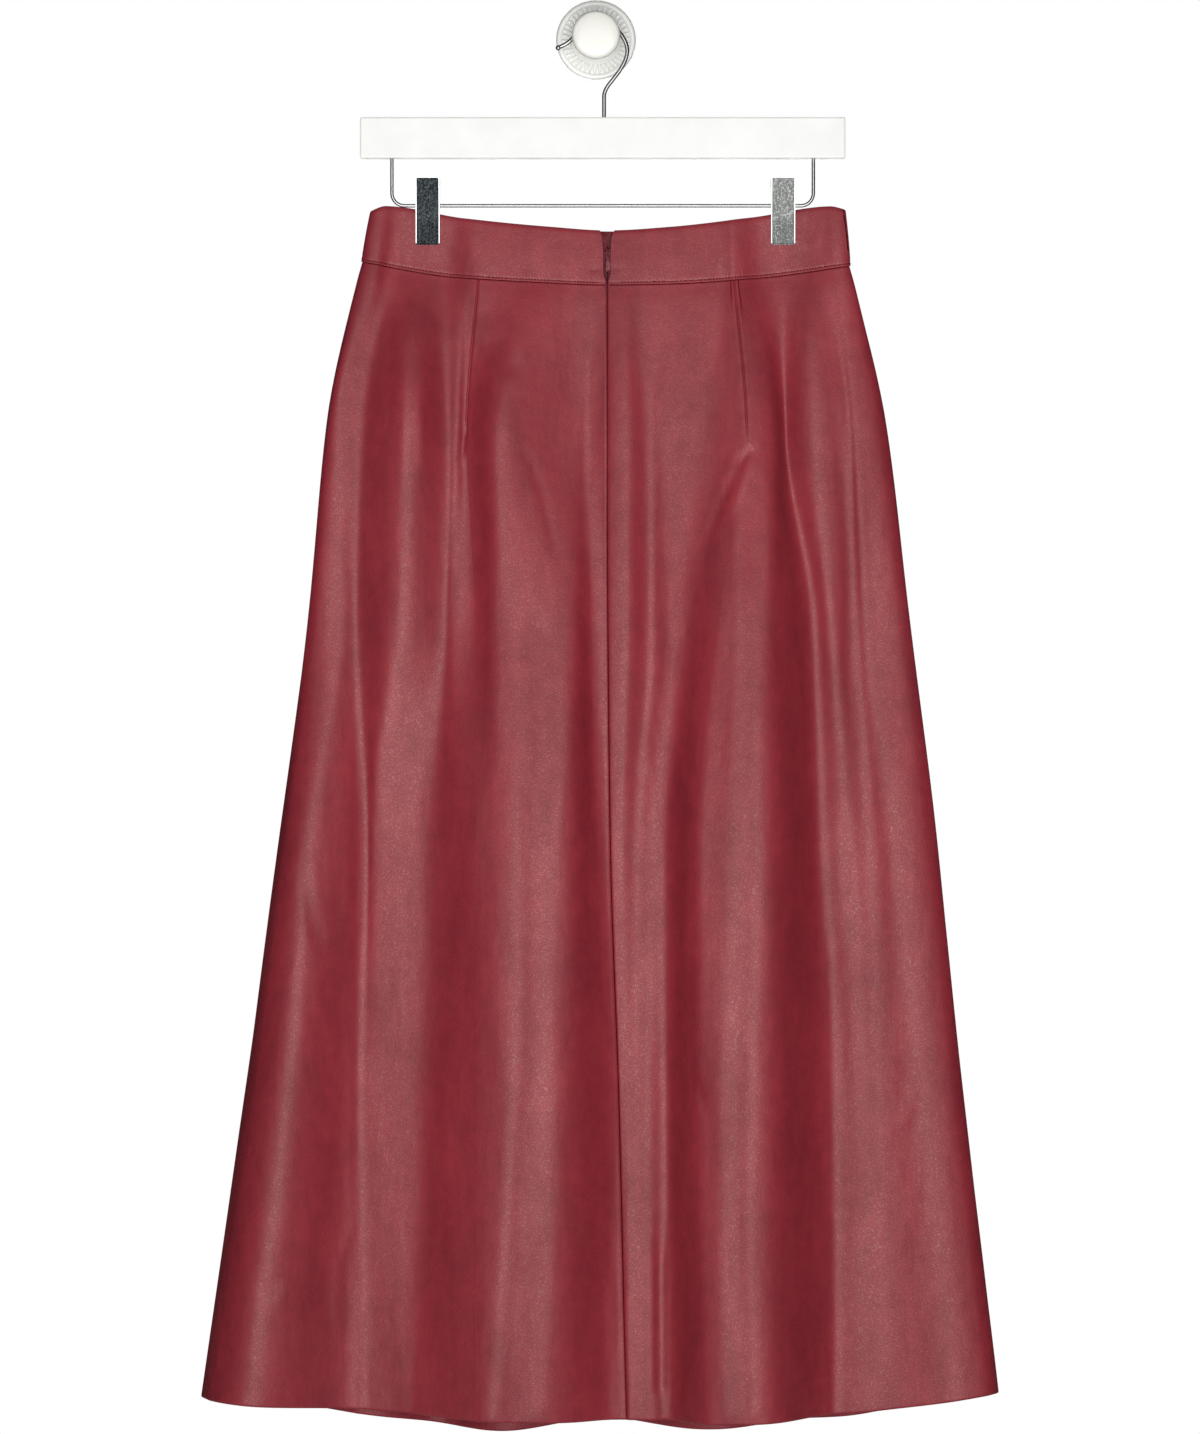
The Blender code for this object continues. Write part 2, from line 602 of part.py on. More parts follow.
def zip_slider(collection, cutters):
    """Slider at the top of the zip: a plate in front, a plate behind, a neck and a bail."""
    x, z, plate_back, back_front = slider_places()
    plate_centre = hanging(x, plate_back + SLIDER_PLATE[1] / 2.0, z)
    slider = add_object("zip_slider", box("zip_slider", SLIDER_PLATE, plate_centre, 0.35),
                        "zip_metal", collection)
    overlap = 0.4
    neck_thick = plate_back - back_front + 2.0 * overlap
    neck_centre = hanging(x, (plate_back + back_front) / 2.0, z)
    union(slider, box("neck", (SLIDER_NECK[0], neck_thick, SLIDER_NECK[1]), neck_centre, 0.0), cutters)
    back_centre = hanging(x, back_front - SLIDER_BACK[1] / 2.0, z)
    union(slider, box("back_plate", SLIDER_BACK, back_centre, 0.3, 1), cutters)
    bar = bail_centre()
    foot = plate_back + SLIDER_PLATE[1] - overlap
    route = [(bar[0] - BAIL_HALF_WIDTH, -foot, bar[2]), (bar[0] - BAIL_HALF_WIDTH, bar[1], bar[2]),
             (bar[0] + BAIL_HALF_WIDTH, bar[1], bar[2]), (bar[0] + BAIL_HALF_WIDTH, -foot, bar[2])]
    bail = wire("bail", route, BAIL_WIRE, "zip_metal", cutters)
    bail_mesh = bail.data
    bpy.data.objects.remove(bail)
    union(slider, bail_mesh, cutters)
    return slider


def bail_centre():
    """Middle of the bail's bar, about which the pull tab turns."""
    x, z, plate_back, _ = slider_places()
    return hanging(x, plate_back + SLIDER_PLATE[1] + BAIL_REACH, z + SLIDER_PLATE[2] / 4.0)


def zip_pull(collection, cutters):
    """Teardrop tab with an eye round the bail's bar; its origin is on that bar."""
    ring_radius, ring_wire = PULL_EYE
    steps = 16
    eye_route = [(0.0, ring_radius * math.cos(2 * math.pi * i / steps),
                  ring_radius * math.sin(2 * math.pi * i / steps)) for i in range(steps)]
    pull = wire("zip_pull", eye_route, ring_wire, "zip_metal", collection, resolution=1, closed=True)
    top = -ring_radius - ring_wire * 0.2
    belly = -PULL_LENGTH + PULL_HALF_WIDTH
    outline = [(PULL_NECK, top), (PULL_NECK * 0.9, top - 2.2), (PULL_HALF_WIDTH, belly)]
    arc = [(PULL_HALF_WIDTH * math.cos(a), belly - PULL_HALF_WIDTH * math.sin(a))
           for a in (math.pi * i / 8.0 for i in range(1, 8))]
    mirrored = [(-x, z) for x, z in reversed(outline)]
    bm = bmesh.new()
    front = [bm.verts.new((x * MM, -PULL_THICK / 2.0 * MM, z * MM))
             for x, z in [*outline, *arc, *mirrored]]
    face = bm.faces.new(front)
    solid = bmesh.ops.extrude_face_region(bm, geom=[face])
    moved = [item for item in solid["geom"] if isinstance(item, bmesh.types.BMVert)]
    bmesh.ops.translate(bm, verts=moved, vec=(0.0, PULL_THICK * MM, 0.0))
    union(pull, mesh_from_bmesh("tab", bm, 30.0), cutters)
    place = Vector(bail_centre()) * MM
    pull.location = place
    pull.modifiers[0].object.location = place
    return pull


# ---------------------------------------------------------------- the hanger's pieces

def hanger_bar(collection, cutters):
    """White bar with a hole on top for the hook and two below for the rail's legs."""
    centre = hanging(HANGER_CENTRE, HANG_DEPTH, BAR_CENTRE_Z)
    bar = add_object("hanger_bar", box("hanger_bar", BAR_SIZE, centre, BAR_EDGE), "white_bar",
                     collection)
    top = BAR_CENTRE_Z + BAR_SIZE[2] / 2.0
    bottom = BAR_CENTRE_Z - BAR_SIZE[2] / 2.0
    holes = [(HOOK_ROUTE[0][0], top, HOOK_WIRE)]
    holes += [(HANGER_CENTRE + side * RAIL_HALF_WIDTH, bottom, RAIL_WIRE) for side in (-1, 1)]
    for x, z, radius in holes:
        bm = bmesh.new()
        bmesh.ops.create_cone(bm, cap_ends=True, segments=20, radius1=(radius + HOLE_CLEARANCE) * MM,
                              radius2=(radius + HOLE_CLEARANCE) * MM,
                              depth=2.0 * (WIRE_IN_BAR + HOLE_CLEARANCE) * MM,
                              matrix=Matrix.Translation(Vector(hanging(x, HANG_DEPTH, z)) * MM))
        combine(bar, mesh_from_bmesh("hole", bm), cutters, "DIFFERENCE")
    return bar


def hanger_hook(collection):
    """Chrome wire from the bar over the knob's neck to a small ball."""
    foot = BAR_CENTRE_Z + BAR_SIZE[2] / 2.0 - WIRE_IN_BAR
    stem = [hanging(HOOK_ROUTE[0][0], HANG_DEPTH, z) for z in (foot, HOOK_ROUTE[0][1] - 2.0)]
    bend = smooth_route([hanging(x, HANG_DEPTH, z) for x, z in HOOK_ROUTE], HOOK_STEPS)
    direction = (bend[-1] - bend[-2]).normalized()
    ball_radius = HOOK_WIRE * HOOK_TIP
    ball = [(bend[-1] + direction * ball_radius * (1.0 - math.cos(a)), HOOK_TIP * math.sin(a))
            for a in (math.radians(angle) for angle in (55, 90, 125, 150))]
    route = [*stem, *bend, *(place for place, _ in ball)]
    widths = [1.0] * (len(stem) + len(bend)) + [width for _, width in ball]
    return wire("hanger_hook", route, HOOK_WIRE, "chrome", collection, widths)


def clip_rail(collection):
    """Chrome wire with two legs that stand in the bar and a level stretch that carries the clips."""
    leg_top = BAR_CENTRE_Z - BAR_SIZE[2] / 2.0 + WIRE_IN_BAR
    steps = 5
    half = []
    for i in range(steps + 1):
        a = math.pi / 2.0 * i / steps
        half.append((RAIL_HALF_WIDTH - RAIL_BEND * (1.0 - math.cos(a)),
                     RAIL_Z + RAIL_BEND * (1.0 - math.sin(a))))
    right = [(RAIL_HALF_WIDTH, leg_top), *half]
    left = [(-x, z) for x, z in reversed(right)]
    route = [hanging(HANGER_CENTRE + x, HANG_DEPTH, z) for x, z in [*right, *left]]
    return wire("clip_rail", route, RAIL_WIRE, "chrome", collection)


def clip_jaw(name, centre, side, collection):
    """One bent sheet jaw: side is 1 for the jaw away from the wall and -1 for the one near it."""
    bm = bmesh.new()
    left = [bm.verts.new(Vector(hanging(centre - CLIP_WIDTH / 2.0, HANG_DEPTH + side * point.out,
                                        RAIL_Z + point.up)) * MM) for point in JAW_PROFILE]
    edges = [bm.edges.new(pair) for pair in zip(left, left[1:])]
    sheet = bmesh.ops.extrude_edge_only(bm, edges=edges)
    moved = [item for item in sheet["geom"] if isinstance(item, bmesh.types.BMVert)]
    bmesh.ops.translate(bm, verts=moved, vec=(CLIP_WIDTH * MM, 0.0, 0.0))
    corners = [vert for vert in bm.verts if len(vert.link_edges) == 2]
    bmesh.ops.bevel(bm, geom=corners, offset=CLIP_CORNER * MM, segments=3, profile=0.5,
                    affect="VERTICES")
    wanted = Vector((0.0, -side, 0.0))
    for face in bm.faces:
        if face.normal.dot(wanted) < 0.0:
            face.normal_flip()
    mesh = bpy.data.meshes.new(name)
    bm.to_mesh(mesh)
    bm.free()
    jaw = add_object(name, mesh, "chrome", collection)
    sheet_metal = jaw.modifiers.new("Sheet", "SOLIDIFY")
    sheet_metal.thickness = CLIP_SHEET * MM
    sheet_metal.offset = 1.0
    sheet_metal.use_even_offset = True
    return jaw


def jaw_inner_face(up):
    """Distance of a jaw's inner face from the clip's middle plane at a height over the rail."""
    points = sorted(JAW_PROFILE)
    for low, high in zip(points, points[1:]):
        if low.up <= up <= high.up:
            return low.out + (high.out - low.out) * (up - low.up) / (high.up - low.up)
    return points[-1].out


def clip_spring(name, centre, collection):
    """Coil round the rail whose two arms press the jaws' upper ends apart."""
    arm_out = jaw_inner_face(SPRING_ARM) - GAP - SPRING_WIRE
    turns = round(SPRING_TURNS * SPRING_SIDES)
    coil = []
    for i in range(turns + 1):
        a = 2.0 * math.pi * i / SPRING_SIDES
        x = centre + SPRING_WIDTH * (i / turns - 0.5)
        coil.append(hanging(x, HANG_DEPTH + SPRING_COIL * math.cos(a),
                            RAIL_Z - SPRING_COIL * math.sin(a)))
    front_arm = hanging(centre - SPRING_WIDTH / 2.0, HANG_DEPTH + arm_out, RAIL_Z + SPRING_ARM)
    rear_arm = hanging(centre + SPRING_WIDTH / 2.0, HANG_DEPTH - arm_out, RAIL_Z + SPRING_ARM)
    return wire(name, [front_arm, *coil, rear_arm], SPRING_WIRE, "chrome", collection, resolution=1)


# ---------------------------------------------------------------- the wall knob

def turned(name, profile, sides, finish, collection):
    """Shape turned about the axis that stands out from the wall."""
    bm = bmesh.new()
    line = [bm.verts.new((radius * MM, 0.0, out * MM)) for radius, out in profile]
    for pair in zip(line, line[1:]):
        bm.edges.new(pair)
    mesh = bpy.data.meshes.new(name)
    bm.to_mesh(mesh)
    bm.free()
    shape = add_object(name, mesh, finish, collection)
    shape.rotation_euler = (math.pi / 2.0, 0.0, 0.0)
    screw = shape.modifiers.new("Turned", "SCREW")
    screw.axis = "Z"
    screw.steps = sides
    screw.render_steps = sides
    screw.use_merge_vertices = True
    screw.merge_threshold = 0.00002
    screw.use_smooth_shade = True
    return shape


def clear_scene():
    """Remove whatever the file starts with."""
    for obj in list(bpy.data.objects):
        bpy.data.objects.remove(obj, do_unlink=True)


def build():
    """Build every piece of the skirt, the hanger and the knob."""
    clear_scene()
    parts = bpy.data.collections.new(PART_NAME)
    cutters = bpy.data.collections.new("cutters")
    bpy.context.scene.collection.children.link(parts)
    bpy.context.scene.collection.children.link(cutters)

    panel("back_panel_left", 0.0, CENTRE, (FOLD_PLACE["dart left"],), parts)
    panel("back_panel_right", CENTRE, RIGHT, (FOLD_PLACE["dart right"],), parts)
    panel("front_panel", RIGHT, GIRTH, (), parts)
    waistband("waistband_back_left", 0.0, CENTRE, parts)
    waistband("waistband_back_right", CENTRE, RIGHT, parts)
    waistband("waistband_front", RIGHT, GIRTH, parts)
    zip_tape("zip_tape_left", -1, parts)
    zip_tape("zip_tape_right", 1, parts)
    zip_slider(parts, cutters)
    zip_pull(parts, cutters)

    hanger_bar(parts, cutters)
    hanger_hook(parts)
    clip_rail(parts)
    for hand, centre in CLIP_CENTRES.items():
        clip_jaw(f"clip_{hand}_outer_jaw", centre, 1, parts)
        clip_jaw(f"clip_{hand}_wall_jaw", centre, -1, parts)
        clip_spring(f"clip_{hand}_spring", centre, parts)

    turned("wall_rosette", ROSETTE_PROFILE, ROSETTE_SIDES, "white_paint", parts)
    turned("wall_knob", KNOB_PROFILE, KNOB_SIDES, "white_paint", parts)


build()
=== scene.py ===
"""Looks of a leather skirt that hangs by its waistband from a clip hanger on a round wall knob.

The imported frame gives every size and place. Each sub-assembly is a class that holds its own
sizes, builds its finer meshes on the same form and dresses them. Sizes are in millimetres in the
frame's axes (+Z up, +Y into the wall, the zip on the -Y side) and become metres in the meshes.
"""
import json
import logging
import math
from collections.abc import Callable, Iterable, Iterator, Sequence
from contextlib import contextmanager
from dataclasses import dataclass, field
from enum import Enum
from typing import Any, NamedTuple

import bmesh
import bpy
import numpy as np
from mathutils import Matrix, Vector


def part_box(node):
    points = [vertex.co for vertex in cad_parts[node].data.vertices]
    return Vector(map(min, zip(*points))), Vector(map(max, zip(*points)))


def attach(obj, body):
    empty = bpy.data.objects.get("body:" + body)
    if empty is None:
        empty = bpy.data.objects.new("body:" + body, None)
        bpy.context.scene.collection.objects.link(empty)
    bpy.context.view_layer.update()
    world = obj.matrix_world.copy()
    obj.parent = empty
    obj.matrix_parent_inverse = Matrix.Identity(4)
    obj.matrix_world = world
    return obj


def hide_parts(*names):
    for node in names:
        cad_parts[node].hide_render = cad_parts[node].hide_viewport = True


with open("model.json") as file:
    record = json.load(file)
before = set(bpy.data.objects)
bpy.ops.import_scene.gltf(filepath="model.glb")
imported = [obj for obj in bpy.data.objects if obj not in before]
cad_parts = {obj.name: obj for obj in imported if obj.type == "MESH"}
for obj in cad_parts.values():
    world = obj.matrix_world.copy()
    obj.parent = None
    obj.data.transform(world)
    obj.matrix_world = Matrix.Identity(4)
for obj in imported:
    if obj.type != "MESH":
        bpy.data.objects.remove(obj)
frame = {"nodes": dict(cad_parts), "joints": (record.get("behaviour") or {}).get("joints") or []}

Grid = np.ndarray
Pair = tuple[float, float]
Triple = tuple[float, float, float]
Piece = bpy.types.Object
Material = bpy.types.Material
Socket = bpy.types.NodeSocket

MM = 0.001
GARMENT_BODY = "skirt"
TAB_BODY = "pull_tab"

GAP = 0.3                        # air between two pieces that are sewn or rest together
CLOTH = 1.4
BAND_CLOTH = 2.0
TAPE_CLOTH = 1.0
HEM_TURN = 28.0

BAND_NARROWING = 0.972
BAND_SHIFT = 1.4
BAND_CLOSING = 0.70
DART_END = 0.135
ZIP_END = 0.43
TAPE_TOP = -0.94
COIL_TOP = 0.765                 # share of the waistband's height that the coil reaches up
TAPE_WIDTH = 11.0
TAPE_FROM_CENTRE = 1.0
SLIDER_PLATE = (4.0, 1.2, 8.4)    # width, thickness and height
SLIDER_NECK = (1.2, 5.0)         # width and height
SLIDER_BACK = (7.0, 1.4, 8.4)
BAIL_REACH = 2.3
BAIL_HALF_WIDTH = 1.9
BAIL_WIRE = 0.5
PULL_EYE = (1.4, 0.45)           # radius of the ring and of its wire
PULL_LENGTH = 14.6
PULL_HALF_WIDTH = 2.0
PULL_THICK = 0.9

HANG_DEPTH = 28.0
HANGER_CENTRE = 4.8
BAR_SIZE = (349.0, 12.0, 29.5)   # width, depth and height
BAR_CENTRE_Z = -73.3
RAIL_WIRE = 1.3
RAIL_Z = -121.9
RAIL_HALF_WIDTH = 151.7
RAIL_BEND = 9.0
WIRE_IN_BAR = 9.0
HOOK_WIRE = 1.5
HOOK_TIP = 1.3
HOOK_ROUTE: tuple[Pair, ...] = (
    (5.8, -46.0), (6.0, -41.5), (8.0, -36.5), (12.6, -30.4), (18.2, -22.8), (21.9, -14.6),
    (22.2, -7.2), (18.6, 0.6), (12.0, 7.4), (3.6, 10.9), (-5.0, 9.9), (-12.0, 4.2), (-17.4, -2.0),
    (-21.6, -5.4), (-25.4, -7.3))

CLIP_CENTRES = {"left": -121.1, "right": 134.7}
CLIP_WIDTH = 17.2
CLIP_SHEET = 1.2
PINCH = BAND_CLOTH + 0.3
PINCH_MARGIN = 4.0
PINCH_BLEND = 26.0
PINCH_FADE = 70.0
SPRING_WIRE = 0.5
SPRING_COIL = 2.4
SPRING_TURNS = 2.5
SPRING_WIDTH = 5.0
SPRING_ARM = 12.0
JAW_PROFILE: tuple[Pair, ...] = (
    (20.4, 8.2), (13.0, 6.4), (4.0, 4.0), (-3.0, 3.5), (-9.0, 2.7), (-13.0, PINCH + GAP),
    (-28.4, PINCH + GAP))


class Level(NamedTuple):
    """A named height of the skirt, and how far the skirt's middle stands off the wall there."""
    name: str
    down: float
    depth: float


LEVELS = (
    Level("waist seam", 0.00, 28.0), Level("hip", 0.14, 29.5), Level("thigh", 0.30, 32.0),
    Level("knee", 0.50, 34.0), Level("calf", 0.72, 37.0), Level("hem", 1.00, 40.0))


class Fold(NamedTuple):
    """A line that runs down the cloth: its place across at each level, and how far it stands out
    from the skirt's middle at each level. Folds of the front panel stand towards the wall. A keen
    fold keeps that share of its sides' slopes right up to the line."""
    name: str
    across: tuple[float, ...]
    out: tuple[float, ...]
    keen: float = 0.0


SIDE_LEFT = Fold("side left", (-169.0, -193.4, -205.5, -226.9, -250.4, -283.2), (4, 5, 5, 5, 5, 5))
SIDE_RIGHT = Fold("side right", (183.5, 208.5, 224.2, 244.2, 262.7, 289.0), (4, 5, 5, 5, 5, 5))
CENTRE_BACK = Fold("centre back", (7.9, 7.6, 8.3, 10.4, 16.5, 21.5), (8, 14, 16, 15, 13, 11))

BACK_LEFT = (
    Fold("side crest", (-158, -185, -185, -205, -220, -246), (9, 14, 13, 27, 37, 45)),
    Fold("slope foot", (-146, -165, -169, -166, -172, -173), (6, 12, 10, 9, 9, 8.5), 0.35),
    Fold("panel crest", (-132, -136, -142, -158, -156, -143), (8, 28, 26, 12, 11, 14)),
    Fold("clip valley", (-109, -107, -110, -119, -121, -127), (6, 12, 15, 15, 16, 18), 0.7),
    Fold("narrow ridge", (-98, -100, -103, -102, -105, -108), (8.5, 15, 17, 26, 27, 30), 0.6),
    Fold("dart left", (-84.8, -93, -87, -86, -85, -86), (8, 11, 20, 36, 40, 43), 0.65),
    Fold("broad crest", (-47, -71, -70, -63, -64, -73), (9, 28, 31, 43, 47, 45), 0.55),
    Fold("broad crest end", (-10, -15, -17, -17, -19, -21), (8.5, 13, 29, 38, 41, 36)),
    Fold("seam hollow", (0, -4, -3, 1, 8, 11), (8, 11, 19, 19, 17, 9), 0.65))

BACK_RIGHT = (
    Fold("seam crest", (17, 21, 21, 17, 21, 24), (9, 22, 25, 19, 15.5, 14)),
    Fold("seam valley", (30, 36, 37, 28, 29, 32), (8, 12, 12, 14, 14, 12.5)),
    Fold("soft crest", (54, 48, 48, 37, 37, 40), (9, 15.5, 18, 16.5, 16, 14)),
    Fold("deep valley", (88, 73, 64, 50, 50, 52), (7, 14.5, 20.5, 17, 12.5, 9.5)),
    Fold("dart right", (99.5, 108, 90, 73, 74, 80), (8.5, 23, 34.5, 42, 41, 42)),
    Fold("main crest", (109, 127, 121, 121, 118, 120), (8, 19, 36.5, 47.5, 48, 47)),
    Fold("clip valley", (136, 138, 156, 162, 170, 172), (5, 6, 9, 7.5, 5, 4), 0.2),
    Fold("side plateau", (152, 156, 168, 179, 190, 192), (8, 18, 16, 14, 10, 8)),
    Fold("side valley", (165, 180, 185, 196, 206, 216), (7, 12, 10.5, 10.5, 9, 8), 0.3),
    Fold("side crest", (174, 187, 195, 213, 231, 253), (8, 14, 13, 17, 18, 21), 0.5))

FRONT = (
    Fold("side crest right", (166, 178, 188, 202, 217, 236), (-8, -13, -16, -19, -22, -26)),
    Fold("clip valley right", (136, 140, 147, 158, 168, 183), (-4, -7, -10, -11, -12, -12)),
    Fold("main crest right", (104, 103, 105, 112, 124, 140), (-8, -15, -20, -24, -30, -34)),
    Fold("inner valley right", (56, 56, 60, 70, 79, 90), (-8, -12, -13, -12, -11, -11)),
    Fold("middle crest", (3, 3, 6, 10, 12, 14), (-8.5, -15, -19, -24, -29, -35)),
    Fold("inner valley left", (-44, -46, -50, -56, -61, -67), (-8, -12, -13, -12, -11, -11)),
    Fold("main crest left", (-82, -80, -83, -92, -102, -112), (-8, -15, -20, -24, -29, -34)),
    Fold("clip valley left", (-121, -125, -131, -141, -152, -163), (-4, -7, -10, -11, -12, -12)),
    Fold("side crest left", (-152, -164, -173, -186, -198, -214), (-8, -15.5, -19, -21, -24, -28)))

FOLDS = (SIDE_LEFT, *BACK_LEFT, CENTRE_BACK, *BACK_RIGHT, SIDE_RIGHT, *FRONT)
SIDE_ROUNDNESS = 2.2
# each pair: how far round the ring the folds are read beside a place, and that reading's weight
FOLD_SOFTNESS = ((-9.0, 0.12), (-4.5, 0.23), (0.0, 0.30), (4.5, 0.23), (9.0, 0.12))


class EdgeLine(NamedTuple):
    """Heights of an edge or seam at stations from the left side (-1) to the right side (1)."""
    stations: tuple[float, ...]
    heights: tuple[float, ...]


TOP_EDGE = EdgeLine(
    (-1.0, -0.93, -0.6, -0.25, 0.0, 0.25, 0.6, 0.93, 1.0),
    (-126.0, -122.4, -131.3, -137.3, -140.0, -137.6, -130.6, -122.6, -125.0))
WAIST_SEAM = EdgeLine(
    (-1.0, -0.6, -0.25, 0.0, 0.25, 0.6, 1.0),
    (-162.8, -174.0, -177.8, -179.4, -178.8, -174.7, -165.7))
BACK_HEM = EdgeLine(
    (-1.0, -0.6, -0.25, 0.0, 0.25, 0.6, 1.0),
    (-977.7, -986.0, -991.8, -993.3, -993.7, -990.0, -974.8))
FRONT_HEM = EdgeLine(
    (-1.0, -0.6, -0.25, 0.0, 0.25, 0.6, 1.0),
    (-977.7, -992.0, -1004.0, -997.0, -1003.0, -994.0, -974.8))
NOTCH_LEVELS = (-1.0, -0.9, -0.68, -0.45, -0.22, -0.1, 0.0)
NOTCH_HALF_WIDTHS = (5.3, 3.7, 2.8, 2.5, 2.6, 1.3, GAP / 2.0)
NOTCH_LEAN = 1.6


# ---- smooth lines and steps

def slopes_through(places: Grid, values: Grid) -> Grid:
    """Slopes of a smooth line that is level at each crest and hollow, so it never overshoots.

    Args:
        places: the n places, rising.
        values: values at the places, along the last axis.

    Returns:
        The slopes, one for each value.
    """
    steps = np.diff(values, axis=-1) / np.diff(places)
    before, after = steps[..., :-1], steps[..., 1:]
    turning = before * after <= 0.0
    total = np.where(turning, 1.0, before + after)
    inner = np.where(turning, 0.0, 2.0 * before * after / total)
    return np.concatenate([steps[..., :1], inner, steps[..., -1:]], axis=-1)


def smooth_line(places: Grid, values: Grid, at: Grid, slopes: Grid | None = None,
                keen: Grid | None = None) -> Grid:
    """Values of smooth lines through short tables.

    Args:
        places: the n places of the table, rising.
        values: one line (n) or one for each row (rows, n).
        at: where to read each row's line (rows, m).
        slopes: slopes at the places, if they aren't the usual ones.
        keen: share of the straight slopes that each place keeps on its two sides.

    Returns:
        The values (rows, m).
    """
    places = np.asarray(places, float)
    values = np.broadcast_to(np.asarray(values, float), (at.shape[0], len(places)))
    slopes = slopes_through(places, values) if slopes is None else slopes
    i = np.clip(np.searchsorted(places, at, side="right") - 1, 0, len(places) - 2)
    step = places[i + 1] - places[i]
    u = (at - places[i]) / step
    low, high = (np.take_along_axis(values, k, axis=1) for k in (i, i + 1))
    rise, fall = (np.take_along_axis(slopes, k, axis=1) for k in (i, i + 1))
    if keen is not None:
        straight = (high - low) / step
        rise = rise + (straight - rise) * keen[i]
        fall = fall + (straight - fall) * keen[i + 1]
    return ((1.0 + 2.0 * u) * (1.0 - u) ** 2 * low + u * (1.0 - u) ** 2 * step * rise
            + u * u * (3.0 - 2.0 * u) * high - u * u * (1.0 - u) * step * fall)


def soft_step(u: Grid) -> Grid:
    """0 up to 0 and 1 from 1 on, with a soft rise between."""
    u = np.clip(u, 0.0, 1.0)
    return u * u * (3.0 - 2.0 * u)


def bump(distance: Grid, width: float) -> Grid:
    """A soft bell of height 1 about distance 0."""
    return np.exp(-(distance / width) ** 2)


def smooth_route(points: Sequence[Sequence[float]], steps: int) -> list[Vector]:
    """Points of a smooth curve through a route's own points.

    Args:
        points: the route's points.
        steps: points for each stretch between two of them.

    Returns:
        The finer route, its ends included.
    """
    ends = [Vector(points[0]) * 2 - Vector(points[1]), Vector(points[-1]) * 2 - Vector(points[-2])]
    padded = [ends[0], *map(Vector, points), ends[1]]
    route = []
    for a, b, c, d in zip(padded, padded[1:], padded[2:], padded[3:]):
        for i in range(steps):
            u = i / steps
            route.append(0.5 * (2 * b + (c - a) * u + (2 * a - 5 * b + 4 * c - d) * u ** 2
                                + (3 * b - a - 3 * c + d) * u ** 3))
    return [*route, Vector(points[-1])]


# ---- the skirt's form

